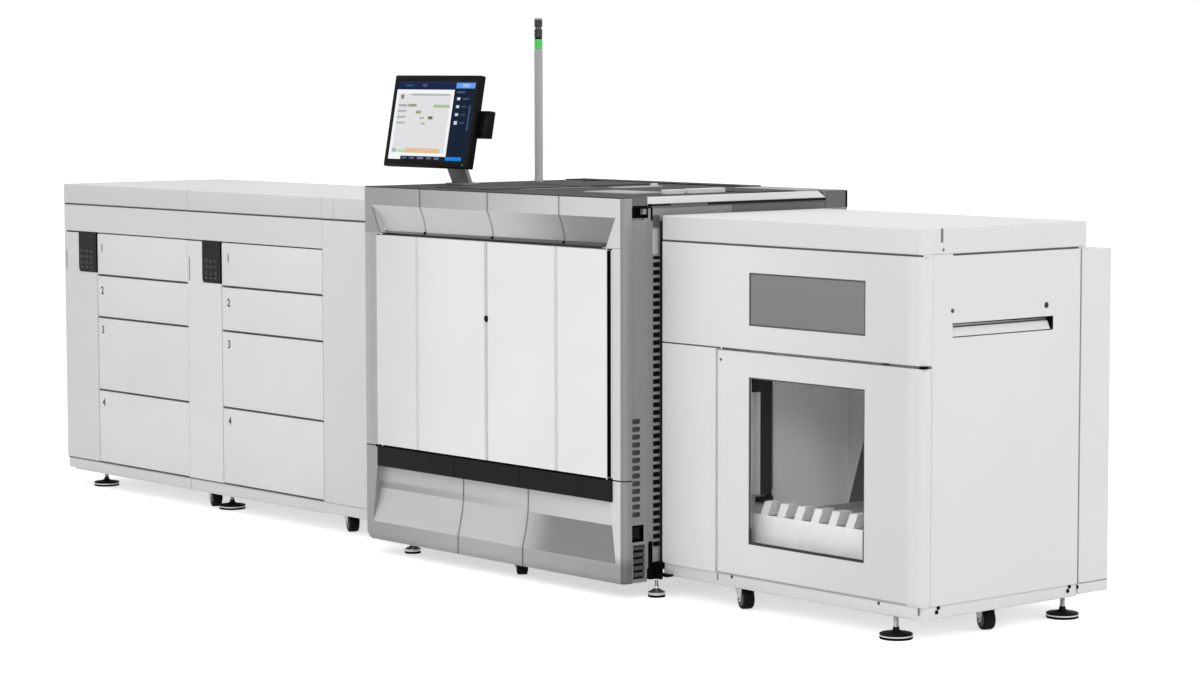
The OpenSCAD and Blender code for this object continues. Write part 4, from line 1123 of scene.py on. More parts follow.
class PRINTER_OT_engine_front(PrinterOperator):
    """Builds the white doors, the seams of the silver frame and the parts behind the doors"""

    bl_idname = "printer.engine_front"
    bl_label = "Engine front"

    # the finger pulls' centre, the doors' height limits and the seams of the silver frame
    PULL = (748, 0, 941)
    DOORS = (423, 1221)
    UPPER_SEAMS = (347, 750, 1156)
    LOWER_SEAMS = (568, 947)

    def make(self):
        self.door("front_door_left", (82, 745.5), 334, 1)
        self.door("front_door_right", (750.5, 1421), 1146, -1)
        for side in ("left", "right"):
            shell(f"door_pull_{side}", "moulded_black", 0.8, 32)
        for node, seams in (("upper_fascia", self.UPPER_SEAMS),
                            ("lower_fascia", self.LOWER_SEAMS)):
            fascia = shell(node, "silver_coat", edge_mm("panel_edge"), 20)
            for seam in seams:
                # darker silver bands along the seams: painted shade of the grooves
                band(fascia, seam - 8, seam + 8, "seam_silver")
        self.trims()
        self.inner_works()

    def door(self, node, x, groove, hinge):
        """Door leaf with its groove, its seat for the finger pull and its inner pan."""
        leaf = slab(f"{node}_leaf", x, (0, 30), self.DOORS, "door_coat")
        # grey in the door's groove and centre seam: painted shade
        tool = slab("tool", (groove - 11, groove + 11), (-3, 2.6), (400, 1240), "groove_coat")
        with shaping(tool):
            pick(looks((0, 1, 0)))
            bpy.ops.transform.resize(value=(0.7, 1, 1), center_override=at(groove, 2.6, 820))
        cut(leaf, tool)
        notch(leaf, (737.5, 758.5), (-3, 1.8), (400, 1240), "groove_coat")
        cut(leaf, drum("tool", self.PULL, 12.4, 16, "Y", "deep_black"))
        ease(leaf, edge_mm("door_edge"), 3, 60)
        pan = slab("pan", (x[0] + 38, x[1] - 38), (29.5, 37), (470, 1174), "light_metal")
        sink(pan, (0, 1, 0), (30, 6), (0, -0.004, 0))
        ease(pan, 1.2)
        free = x[1] - 6 if hinge > 0 else x[0] + 2
        seal = slab("seal", (free, free + 4), (29.5, 33), (440, 1204), "moulded_black", 0.8)
        stay = slab("stay", (x[0] + 120, x[0] + 200), (36.5, 39), (640, 660), "plated_steel", 0.5)
        repeat(stay, 3, z=200)
        fit(gather(f"{node}_leaf", [leaf, pan, seal, stay]), SLOT[node], BODY[node], node)
        if hinge < 0:
            cap = slab(f"{node}_cap", (1419.5, 1421.6), (2.5, 29), (425, 1219), "deep_black", 0.6)
            fit(cap, SLOT[node], BODY[node])
        else:
            lip = slab(f"{node}_lip", (745, 749.3), (5, 24), (428, 1216), "foot_coat")
            cut(lip, drum("tool", self.PULL, 14, 60, "Y", "moulded_black"))
            ease(lip, 0.6)
            fit(lip, SLOT[node], BODY[node])

    def trims(self):
        """Painted shadow lines, seam ends and edge strips of the silver frame."""
        # dark strip on the scoop's lower lip: painted shadow
        lip = slab("lip", (100, 1440), (29.5, 36), (1229.4, 1243), "lip_coat")
        nudge(lip, lambda vert: vert.co.x < at(200, 0, 0).x and vert.co.z > 1240 * MM,
              (0, 0, -0.006))
        ease(lip, 1.0)
        ends = [drum("end", (x, 30, 1236), 5.5, 8, "Y", "deep_black", 1.0, 20)
                for x in self.UPPER_SEAMS]
        catch = drum("catch", (104, 29.5, 1243), 5, 7, "Y", "trim", 1.2, 20)
        fit(gather("upper_fascia_lip", [lip, *ends, catch]), "black_plastic")
        edge = slab("right_post_edge", (1436.5, 1446), (6, 14), (424, 1222), "silver_coat", 1.0)
        fit(edge, "silver_paint")
        joints = blocks(
            ((4, 78), (5.4, 45), (414.6, 418.4), "seam_black"),
            ((1444, 1503), (5.4, 45), (414.6, 418.4), "seam_black"),
            ((1, 1486), (8, 46), (1400, 1404.4), "top_coat", 0.8),
        )
        round_off(joints[1], "z", 0.0215, 8, lambda edge: all(
            vert.co.x > at(1500, 0, 0).x and vert.co.y < at(0, 20, 0).y for vert in edge.verts))
        joints.append(drum("hinge_foot", (68, 7, 416.5), 5.5, 6, "Y", "deep_black", 1.5, 20))
        fit(gather("frame_joints", joints), "black_plastic")

    def inner_works(self):
        """Low unit covers, grab levers and knobs on the bulkhead behind the doors."""
        parts = []
        for x, z in (((96, 520), (440, 760)), ((96, 520), (775, 1205)), ((535, 1080), (440, 905)),
                     ((535, 1080), (920, 1205)), ((1095, 1415), (440, 1205))):
            cover = slab("unit", x, (41.5, 47), z, "dark_coat")
            sink(cover, (0, -1, 0), (12, 2), (0, 0.0016, 0))
            ease(cover, 1.2)
            parts.append(cover)
        for x, z, coat in ((180, 700, "lever_green"), (640, 860, "lever_green"),
                           (900, 860, "lever_blue"), (1180, 1120, "lever_green")):
            parts.append(slab("lever", (x, x + 110), (38.6, 43), (z, z + 26), coat, 1.8))
        for x, z in ((450, 490), (450, 1160), (1000, 490), (1000, 1160), (1360, 480)):
            parts.append(drum("knob", (x, 41, z), 17, 5, "Y", "lever_blue", 1.2, 28))
        fit(gather("inner_unit_covers", parts), "dark_paint")


class PRINTER_OT_engine_side(PrinterOperator):
    """Cuts the slots of the engine's right side and fills its pockets"""

    bl_idname = "printer.engine_side"
    bl_label = "Engine side"

    def make(self):
        pitch = edge_mm("slot_pitch")
        covers = shell("engine_side_covers", "housing_coat", 0)
        oval = slab("tool", (1493, 1502), (50, 86), (287, 305), "hub_grey", 0.0)
        round_off(oval, "x", 0.0065, 4)
        cut(covers, repeat(oval, 13, z=pitch))
        for y, z in (((46.5, 120), (1331, 1365.4)), ((46.5, 103), (199, 258.5)),
                     ((54.5, 109.5), (67.5, 187.5))):
            notch(covers, (1484.6, 1502), y, z, "deep_black")
        ease(covers, edge_mm("panel_edge"), 2, 60)
        housing = shell("engine_housing", "housing_coat", 0)
        slot = slab("tool", (1488, 1502), (147, 178), (176, 193), "seam_black")
        cut(housing, repeat(slot, 37, z=pitch))
        notch(housing, (1488, 1502), (147, 178), (1186, 1197), "seam_black")
        notch(housing, (1484.6, 1502), (116, 124), (1331, 1365.4), "deep_black")
        ease(housing, 1.2, 2, 60)
        self.strips()
        self.pockets()
        shell("engine_rear_cover", "housing_coat", edge_mm("panel_edge"))

    def strips(self):
        """Upright strips between the side cover and the gap to the stacker; the dark ones are
        painted shadow of the gap and painted shade under the rail.
        """
        parts = blocks(
            # painted shade along the side cover's edge
            ((1498, 1500.5), (119, 143), (190, 1320), "edge_coat", 0.8),
            ((1497, 1502), (124, 142), (70, 196), "deep_black", 0.8),
            ((1498, 1501.5), (143, 168), (1204, 1292), "light_metal", 0.8),
            ((1498, 1501.5), (143, 168), (118, 170), "foot_coat", 0.8),
            # painted shadow of the gap to the stacker
            ((1498, 1500), (178, 204), (118, 1320), "key_plastic", 0.8),
            # from here: painted shadow by the latch and under the rail, and the dark parts of a
            # hinge
            ((1501, 1503.6), (48, 118), (1365.6, 1375), "deep_black", 0.6),
            ((1499, 1504.4), (120, 136), (1366, 1380), "deep_black", 1.0),
            ((1499, 1503.6), (136, 225), (1372, 1377.6), "deep_black", 0.6),
            ((1486, 1490.5), (52, 112), (1366.2, 1373), "deep_black", 0.8),
            ((1499, 1503.6), (400, 984), (1369, 1377.6), "seam_black", 0.6),
            ((1498, 1500.4), (206, 520), (1325, 1365.6), "edge_coat", 0.6),
            ((1498, 1500.4), (520, 984), (1325, 1365.6), "dark_coat", 0.6),
            ((1496, 1502), (146, 176), (1298, 1340), "seam_dark", 3.0),
            ((1498, 1502.6), (116, 124), (1366, 1378), "deep_black", 1.5),
            ((1499, 1503.4), (225, 400), (1373, 1377.6), "seam_dark", 0.6),
        )
        parts.append(drum("pin", (1499, 140, 1345), 4, 46, "Z", "deep_black", 1.0, 20))
        fit(gather("side_strips", parts), "housing_paint")

    def pockets(self):
        """Latch, socket and corrugated grille in the pockets of the side cover."""
        lever = slab("lever", (1486, 1499), (98, 117), (1344, 1364), "housing_coat", 2.0)
        sink(lever, (0, -1, 0), (), (0, 0.006, 0))
        socket = slab("socket", (1485, 1490), (54, 94), (208, 250), "gloss_black", 2.5)
        rib = drum("rib", (1488.5, 82, 82), 8.6, 53, "Y", "hub_grey", 1.0, 20)
        repeat(rib, 5, z=23.5)
        frame_part = slab("frame", (1485, 1487), (55, 109), (68, 187), "deep_black", 0.6)
        fit(gather("side_pocket_parts", [lever, socket, rib, frame_part]), "black_plastic")


class PRINTER_OT_engine_top(PrinterOperator):
    """Lays the lids, rails and vents on the engine's top"""

    bl_idname = "printer.engine_top"
    bl_label = "Engine top"

    def make(self):
        cover = shell("engine_top_cover", "top_coat", 0)
        paint(cover, lambda face: abs(face.normal.z) < 0.5, "dark_coat")
        ease(cover, edge_mm("panel_edge"))
        rail = shell("engine_top_rail", "trim", 0)
        nudge(rail, lambda vert: vert.co.y > at(0, 900, 0).y and vert.co.z > 1390 * MM,
              (0, -0.035, 0))
        ease(rail, 1.0)
        parts = []
        for x, y, height, coat in (
            ((1332, 1370), (327, 419), 15, "lid_coat"), ((1332, 1370), (437, 616), 16, "lid_coat"),
            ((1020, 1290), (230, 400), 4, "lid_grey"), ((780, 860), (553, 774), 4, "lid_grey"),
            ((780, 804), (766, 792), 12, "lid_coat"), ((690, 740), (190, 540), 3, "dark_coat"),
            ((300, 640), (110, 520), 4, "top_coat"), ((300, 640), (535, 940), 5, "top_coat"),
            ((1180, 1480), (640, 860), 4, "top_coat"), ((1120, 1480), (878, 980), 4, "lid_grey"),
        ):
            lid = slab("lid", x, y, (1403.5, 1404 + height), coat)
            round_off(lid, "z", min(18, 0.3 * (x[1] - x[0]), 0.3 * (y[1] - y[0])) * MM, 5)
            ease(lid, min(2.0, height * 0.4))
            parts.append(lid)
        fit(gather("engine_top_lids", parts), "dark_paint")
        vent = slab("rear_top_vent", (20, 1050), (989, 1090), (1403.5, 1408), "moulded_black")
        slot = slab("tool", (50, 58), (1000, 1078), (1406.4, 1410), "deep_black")
        cut(vent, repeat(slot, 49, x=20))
        ease(vent, 0.8, 2, 60)
        fit(vent, "black_plastic")
        block_set(
            "rail_end", "housing_paint",
            ((1487.5, 1503.6), (985.5, 1088), (1340, 1403.8), "dark_coat", 1.2),
            ((1487.5, 1503.8), (1085, 1096.8), (1340, 1402), "deep_black", 1.2),
        )


class PRINTER_OT_engine_back(PrinterOperator):
    """Adds the service covers, vents and cups of the engine's back"""

    bl_idname = "printer.engine_back"
    bl_label = "Backs"

    def make(self):
        parts = []
        for x in ((18, 500), (512, 992), (1004, 1485)):
            cover = slab("cover", x, (1093, 1096.9), (118, 1386), "housing_coat")
            slot = slab("tool", (x[0] + 60, x[1] - 60), (1095, 1099), (240, 246), "deep_black")
            cut(cover, repeat(slot, 22, z=14))
            notch(cover, (x[0] + 190, x[1] - 190), (1094.6, 1099), (1180, 1222), "deep_black")
            ease(cover, 1.2, 2, 60)
            parts.append(cover)
        fit(gather("rear_service_covers", parts), "housing_paint")


class PRINTER_OT_monitor(PrinterOperator):
    """Builds the touch monitor with its display, its side reader and its arm"""

    bl_idname = "printer.monitor"
    bl_label = "Monitor"

    # the tilt's pivot, the lean in degrees, and the display's limits about the pivot
    PIVOT = (96, 298, 1620)
    LEAN = -10.6
    SCREEN = ((-242, 242), (-47, -44), (-130, 174))

    def make(self):
        shell("monitor", "moulded_black", 2.0, 32)
        shell("card_reader", "moulded_black", 2.0, 32)
        shell("monitor_arm", "arm_coat", 1.5, 32)
        self.display()
        self.back_details()

    def local(self, x, y, z):
        px, py, pz = self.PIVOT
        return (px + x[0], px + x[1]), (py + y[0], py + y[1]), (pz + z[0], pz + z[1])

    def block(self, x, y, z, coat, edge=0.0):
        x, y, z = self.local(x, y, z)
        return slab("part", x, y, z, coat, edge)

    # blocks of the generic picture: left, right, bottom, top from 0 to 1, and a display colour
    PICTURE = (
        (0.00, 1.00, 0.00, 1.00, (0.03, 0.10, 0.19)),
        (0.00, 1.00, 0.905, 1.00, (0.03, 0.12, 0.27)),
        (0.00, 1.00, 0.975, 1.00, (0.10, 0.16, 0.30)),
        (0.76, 1.00, 0.915, 0.985, (0.40, 0.62, 0.92)),
        (0.84, 0.93, 0.93, 0.97, (0.60, 0.77, 0.97)),
        (0.10, 0.20, 0.94, 0.955, (0.12, 0.38, 0.60)),
        (0.32, 0.38, 0.935, 0.965, (0.30, 0.33, 0.48)),
        (0.00, 0.745, 0.045, 0.895, (0.96, 0.97, 0.97)),
        (0.035, 0.71, 0.085, 0.845, (0.885, 0.885, 0.895)),
        (0.06, 0.10, 0.775, 0.83, (0.50, 0.51, 0.52)),
        (0.19, 0.69, 0.815, 0.845, (0.74, 0.74, 0.75)),
        (0.045, 0.155, 0.675, 0.705, (0.66, 0.67, 0.68)),
        (0.17, 0.28, 0.675, 0.71, (0.60, 0.63, 0.50)),
        (0.50, 0.71, 0.665, 0.705, (0.66, 0.76, 0.60)),
        (0.045, 0.155, 0.605, 0.63, (0.68, 0.69, 0.70)),
        (0.28, 0.35, 0.585, 0.625, (0.62, 0.65, 0.48)),
        (0.045, 0.155, 0.53, 0.555, (0.68, 0.69, 0.70)),
        (0.34, 0.40, 0.52, 0.545, (0.66, 0.69, 0.58)),
        (0.45, 0.51, 0.515, 0.555, (0.47, 0.46, 0.28)),
        (0.045, 0.155, 0.455, 0.48, (0.70, 0.70, 0.71)),
        (0.37, 0.42, 0.445, 0.475, (0.70, 0.73, 0.58)),
        (0.035, 0.09, 0.09, 0.14, (0.70, 0.70, 0.71)),
        (0.11, 0.21, 0.085, 0.125, (0.72, 0.88, 0.70)),
        (0.21, 0.66, 0.085, 0.145, (0.90, 0.76, 0.58)),
        (0.00, 0.16, 0.00, 0.045, (0.97, 0.97, 0.98)),
        (0.18, 0.24, 0.008, 0.034, (0.32, 0.38, 0.55)),
        (0.28, 0.34, 0.008, 0.034, (0.38, 0.40, 0.55)),
        (0.38, 0.46, 0.008, 0.034, (0.42, 0.48, 0.62)),
        (0.50, 0.56, 0.008, 0.034, (0.38, 0.44, 0.58)),
        (0.60, 0.66, 0.008, 0.034, (0.42, 0.48, 0.60)),
        (0.745, 0.945, 0.00, 0.045, (0.10, 0.52, 0.90)),
        (0.79, 0.83, 0.765, 0.80, (0.83, 0.90, 0.94)),
        (0.86, 0.94, 0.772, 0.792, (0.26, 0.33, 0.42)),
        (0.79, 0.83, 0.665, 0.70, (0.75, 0.88, 0.90)),
        (0.86, 0.92, 0.672, 0.692, (0.22, 0.30, 0.38)),
        (0.79, 0.83, 0.565, 0.60, (0.76, 0.85, 0.92)),
        (0.86, 0.92, 0.572, 0.592, (0.22, 0.30, 0.38)),
        (0.79, 0.83, 0.455, 0.50, (0.80, 0.84, 0.97)),
        (0.86, 0.92, 0.468, 0.488, (0.24, 0.30, 0.40)),
        (0.78, 0.88, 0.855, 0.875, (0.30, 0.38, 0.46)),
        (0.955, 0.975, 0.38, 0.70, (0.22, 0.32, 0.46)),
    )

    def display(self):
        """Display glass whose face is divided into the blocks of its picture."""
        glass = self.block(*self.SCREEN, "lit_display")
        corner, far = (at(*limits) for limits in zip(*self.local(*self.SCREEN)))
        wide, tall = far.x - corner.x, far.z - corner.z
        across = sorted({value for block in self.PICTURE for value in block[:2]} - {0.0, 1.0})
        upward = sorted({value for block in self.PICTURE for value in block[2:4]} - {0.0, 1.0})
        slice_up(glass, "x", [corner.x + share * wide for share in across])
        slice_up(glass, "z", [corner.z + share * tall for share in upward])
        picture = glass.data.color_attributes.new("Picture", "FLOAT_COLOR", "CORNER")
        for face in glass.data.polygons:
            right = (face.center.x - corner.x) / wide
            above = (face.center.z - corner.z) / tall
            shown = (0.01, 0.01, 0.012)
            if face.normal.y < -0.9:
                for x0, x1, z0, z1, colour in self.PICTURE:
                    if x0 < right < x1 and z0 < above < z1:
                        shown = shade(colour)
            for loop in face.loop_indices:
                picture.data[loop].color = (*shown, 1.0)
        tip(glass, self.PIVOT, self.LEAN)
        glass.name = "monitor_display"
        fit(glass, SLOT["monitor_glass"], BODY["monitor_glass"], "monitor_glass")

    def back_details(self):
        """Vents, mount plate and switches of the monitor and the reader's slot."""
        parts = [
            self.block((-60, 104), (-21, -15), (-40, 60), "arm_coat", 2.0),
            self.block((-230, 230), (-20.6, -18.6), (120, 124), "deep_black", 0.5),
            self.block((-230, 230), (-20.6, -18.6), (-128, -124), "deep_black", 0.5),
        ]
        slot = self.block((-200, -196), (-20.6, -18.6), (132, 176), "deep_black", 0.6)
        parts.append(repeat(slot, 40, x=10))
        parts.append(self.block((226, 232), (-48.3, -46), (-148, -144), "lit_green", 0.5))
        for part in parts:
            tip(part, self.PIVOT, self.LEAN)
        fit(gather("monitor_fittings", parts), "black_plastic", BODY["monitor"])
        reader = [
            self.block((270, 312), (-21.2, -19), (-20, 46), "gloss_black", 1.0),
            self.block((276, 306), (-21.8, -20), (52, 55), "deep_black", 0.5),
        ]
        for part in reader:
            tip(part, self.PIVOT, self.LEAN)
        fit(gather("card_reader_face", reader), "black_plastic", BODY["card_reader"])
        foot = screws("arm_screws", [(x, y, 1410.5) for y in (374, 412) for x in (78, 158)],
                      5, "dull_steel", 1.6, "Z")
        fit(foot, "dark_paint")


class PRINTER_OT_signal_tower(PrinterOperator):
    """Builds the signal tower: pole, collars and its three lenses"""

    bl_idname = "printer.signal_tower"
    bl_label = "Signal tower"

    def make(self):
        x, y, engine_top = 87, 795, 1404
        pole = turned("signal_tower_pole", (x, y, engine_top), (
            (17.5, 0), (17.5, 10), (16.5, 14), (16.4, 500), (16.2, 516)), "pole_coat", 32)
        fit(pole, SLOT["signal_pole"], LINE, "signal_pole")
        rows = (
            ("pole_coat", 1916, 1926, 15.0), ("lit_lens", 1926, 1963, 16.2),
            ("deep_black", 1963, 1969, 14.5), ("dark_lens", 1969, 2002, 16.0),
            ("dull_steel", 2002, 2010, 12.5), ("dark_lens", 2010, 2039, 16.0),
            ("pole_coat", 2039, 2046, 15.5),
        )
        lamps = [drum("lens", (x, y, (low + high) / 2), radius, high - low, "Z", coat, 1.4)
                 for coat, low, high, radius in rows]
        fit(gather("signal_tower_lamps", lamps), SLOT["signal_lamp"], LINE, "signal_lamp")


class PRINTER_OT_stacker_front(PrinterOperator):
    """Finishes the stacker's door, its windows and its small fastenings"""

    bl_idname = "printer.stacker_front"
    bl_label = "Stacker front"

    def make(self):
        grooved("stacker_door", "front_coat",
                ((1932, 2537), (187, 214), (208, 832), "front_coat"))
        seal = ring((1959, 2510), (234, 806), 5, (174.3, 180), "seam_dark")
        seal += blocks(*[
            (x, (174.0, 180.5), z, "key_plastic", 0.5) for x, z in (
                ((1959, 2510), (234, 243.5)), ((1959, 1966), (243, 290)),
                ((2503, 2510), (243, 340)))])
        fit(gather("door_window_seal", seal), "black_plastic", BODY["stacker_door"])
        shell("stacker_door_glass", "clear_pane", 0)
        shell("stacker_upper_window", "film_pane", 0.5)
        fit(gather("upper_window_seal", ring((1959, 2510), (981, 1161), 5, (174, 180),
                                             "seam_dark")), "black_plastic")
        marks = screws("stacker_screws", [(1873, 176.6, 111), (2576, 176.6, 110)], 6, "hub_grey")
        fit(marks, "black_plastic")
        block_set(
            "base_ticks", "black_plastic",
            ((1797, 1805), (176.4, 178), (92, 114), "seam_mid", 0.5),
            ((2751, 2759), (176.4, 178), (92, 117), "seam_mid", 0.5),
        )
        sill = slab("door_sill", (1796, 2702), (175, 200), (118.1, 122.6), "seam_grey", 0.5)
        fit(sill, "cover_paint")
        lock = drum("door_lock", (1820, 172.6, 857), 5, 3, "Y", "dull_steel", 0.7, 20)
        fit(lock, "bright_steel", BODY["stacker_door"])
        hinge = blocks(*[
            ((1796, 1800), (212, 216), (z, z + 60), "plated_steel", 1.0) for z in (180, 780)])
        pan = ring((1810, 2760), (138, 874), 14, (210.5, 213), "light_metal")
        fit(gather("stacker_door_pan", hinge + pan), "cover_paint", BODY["stacker_door"])


class PRINTER_OT_stacker_bay(PrinterOperator):
    """Lines the stacker's bay and finishes its tray, guide rail and sensors"""

    bl_idname = "printer.stacker_bay"
    bl_label = "Stacker bay"

    def make(self):
        tray = shell("stack_tray", "tray_coat", 0)
        paint(tray, lambda face: face.normal.z > 0.9
              and face.calc_center_median().z < 340 * MM, "deck_coat")
        ease(tray, 1.2)
        cheek = slab("tray_cheek", (1915, 1950), (234.4, 236.4), (118, 331), "tray_coat", 0.7)
        fit(cheek, "door_paint")
        shell("guide_bar", "rail_black", 1.0)
        block_set(
            "bay_lining", "cover_paint",
            ((1789.8, 1791.2), (214, 822), (119, 893), "lining_coat", 0.3),
            # the back wall's lining darker than the side walls: painted shade
            ((1791.2, 2743), (821.6, 823.2), (119, 893), "back_lining", 0.3),
            ((2742.8, 2744.2), (214, 822), (119, 893), "lining_coat", 0.3),
            ((1791.2, 2743), (214, 822), (892.8, 894.2), "lining_coat", 0.3),
        )
        # dark wedge on the bay's back wall: painted shadow
        wedge = slab("wedge", (1792, 1990), (818, 822), (281, 910), "seam_dark")
        nudge(wedge, lambda vert: vert.co.x < at(1800, 0, 0).x and vert.co.z > 500 * MM,
              (0, 0, -0.622))
        ease(wedge, 1.0)
        parts = [wedge, *blocks(
            ((1791, 1793), (216, 350), (335, 731), "bright_white", 0.5),
            ((1791, 1812.5), (350, 368), (371, 731), "bright_white", 1.0),
            ((1791, 1811.5), (216, 427), (732, 820), "rail_black", 1.5),
            ((1791, 1811), (411, 425), (352, 760), "rail_black", 1.5),
            ((1791, 1805), (425.5, 437), (385, 745), "lid_grey", 1.0),
            ((1791, 1812), (364, 432), (344, 362), "moulded_black", 2.0),
            ((1797, 1803), (404, 420), (297, 344), "deep_black", 1.5),
            ((1812, 1880), (404, 420), (336, 346), "deep_black", 1.5),
            ((1791, 1792.2), (664, 668), (150, 641), "lining_coat", 0.4),
            ((1791, 1792.2), (668, 821), (638, 642), "lining_coat", 0.4),
        )]
        fit(gather("bay_rails", parts), "black_plastic")


class PRINTER_OT_stacker_side(PrinterOperator):
    """Adds the grip's lip and the fastenings of the stacker's right side"""

    bl_idname = "printer.stacker_side"
    bl_label = "Stacker side"

    def make(self):
        # deep black cut along the grip slot's top: painted shadow inside the slot
        grooved("stacker_right_wall", "cover_coat",
                ((2756, 2780), (303, 790), (1026, 1031), "deep_black"),
                ((2770, 2780), (924.5, 931.6), (112, 1251), "seam_grey"))
        cover = shell("stacker_top_cover", "bright_lid", 0)
        notch(cover, (2772.4, 2780), (247.5, 259), (1294, 1342), "seam_mid")
        for y, z, radius in ((191, 1290, 3.6), (260, 1270, 5.5)):
            cut(cover, drum("tool", (2774, y, z), radius, 3, "X", "seam_mid"))
        ease(cover, edge_mm("panel_edge"), 2, 50)
        grooved("stacker_rear_cover", "cover_coat",
                ((2771.5, 2780), (930, 1090), (116, 119.5), "seam_grey"))
        block_set(
            "side_corner_parts", "cover_paint",
            ((2752, 2773.6), (174.5, 194), (890.5, 897.5), "deep_black", 0.6),
            ((2745, 2773.9), (181, 306), (1248.8, 1255.2), "bright_lid", 0.3),
            ((2767, 2773.9), (174.4, 182), (1248.8, 1255.2), "bright_lid", 0.3),
            ((2744, 2772.6), (307, 915), (1249.6, 1254.4), "seam_dark", 0.3),
            ((2768, 2773.9), (211.2, 215.8), (124, 1248), "cover_coat", 0.3),
            ((2702, 2773.6), (175, 268), (118.1, 122.8), "cover_coat", 0.3),
        )
        lip = slab("lip", (2757, 2773.4), (308, 777), (988, 1016), "cover_coat")
        nudge(lip, lambda edge: all(
            vert.co.x > at(2765, 0, 0).x and vert.co.z > 1000 * MM for vert in edge.verts),
            (-0.013, 0, 0), "edges")
        ease(lip, 1.0)
        # shadow and end: painted shadow inside the grip slot
        shadow = slab("shadow", (2753, 2758), (308, 778), (1014, 1020), "seam_dark", 0.5)
        end = slab("end", (2754, 2774.3), (779, 790.4), (988, 1031), "deep_black", 0.8)
        fit(gather("side_grip_lip", [lip, shadow, end]), "cover_paint")
        heads = [screws("side_screw", [(2774, 304, 1072)], 7.5, "seam_dark", 1.2, "X"),
                 screws("side_screw", [(2774, 756, 1068)], 10, "key_plastic", 1.2, "X")]
        fit(gather("side_screws", heads), "bright_steel")
        dots = [drum("dot", (2771, y, z), 7, 4, "X", "deep_black", 1.0, 20)
                for y, z in ((252, 112), (244, 98), (890, 112), (882, 98), (934, 106))]
        fit(gather("side_clips", dots), "black_plastic")


class PRINTER_OT_docking(PrinterOperator):
    """Finishes the bracket that docks the stacker to the engine"""

    bl_idname = "printer.docking"
    bl_label = "Docking bracket"

    def make(self):
        grooved("docking_bracket", "deep_black",
                ((1440, 1560), (90, 200), (-5, 59.7), "deep_black"),
                ((1500, 1524), (128, 162), (58, 98), "deep_black"), edge=1.2, angle=35)
        block_set(
            "docking_arm", "black_plastic",
            ((1487, 1532), (136, 172.4), (98, 122), "deep_black", 2.0),
            ((1523, 1577), (142, 172.4), (76, 84), "deep_black", 1.5),
            ((1487, 1496), (136, 172.4), (66, 100), "deep_black", 1.5),
        )


class PRINTER_OT_feet(PrinterOperator):
    """Builds the levelling feet: rubber ring, steel dish, nut and threaded stem"""

    bl_idname = "printer.feet"
    bl_label = "Levelling feet"

    # along, into and the height of the stem's top
    LARGE = ((-2325, 283, 98), (-1331, 283, 98), (-2325, 933, 98), (-1331, 933, 98),
             (2635, 198, 98), (2728, 905, 98), (1564, 905, 98))
    SMALL = ((148, 114, 100), (148, 983, 100), (1355, 983, 100))
    LOW = ((1512, 152, 60),)

    def make(self):
        feet = []
        for places, radius, stem in ((self.LARGE, 55, 8), (self.SMALL, 31, 6), (self.LOW, 31, 6)):
            feet += copies(lambda place: self.foot(place, radius, stem), places)
        fit(gather("levelling_feet_set", feet), SLOT["levelling_feet"], LINE, "levelling_feet")

    def foot(self, place, radius, stem):
        x, y, top = place
        small = radius < 40
        high = "plated_steel" if small else "moulded_black"
        parts = [
            turned("ring", (x, y, 0), (
                (radius - 1, 0), (radius - 0.2, 1), (radius - 0.2, 7.8), (radius - 2, 8.2)),
                "rubber"),
            turned("band", (x, y, 0), (
                (radius - 1.5, 8), (radius - 1, 8.4), (radius - 1, 12.4), (radius - 2, 13)),
                "plated_steel"),
            turned("dish", (x, y, 0), (
                (radius - 1, 12.8), (radius, 13.8), (radius, 17), (radius - 4, 19),
                (stem + 15, 22.5), (stem + 8, 26), (stem + 4, 29)), high),
            drum("nut", (x, y, 34), stem + 3.5, 9, "Z", high, 1.0, 6),
        ]
        height, pitch = 38.0, 2.4
        steps = [(stem, 20), (stem, height)]
        while height + 3 < top:
            steps += [(stem + 0.6, height + 0.8), (stem - 0.6, height + pitch)]
            height += pitch
        steps.append((stem - 0.6, top))
        parts.append(turned("stem", (x, y, 0), steps, "plated_steel", 20))
        return gather("foot", parts)


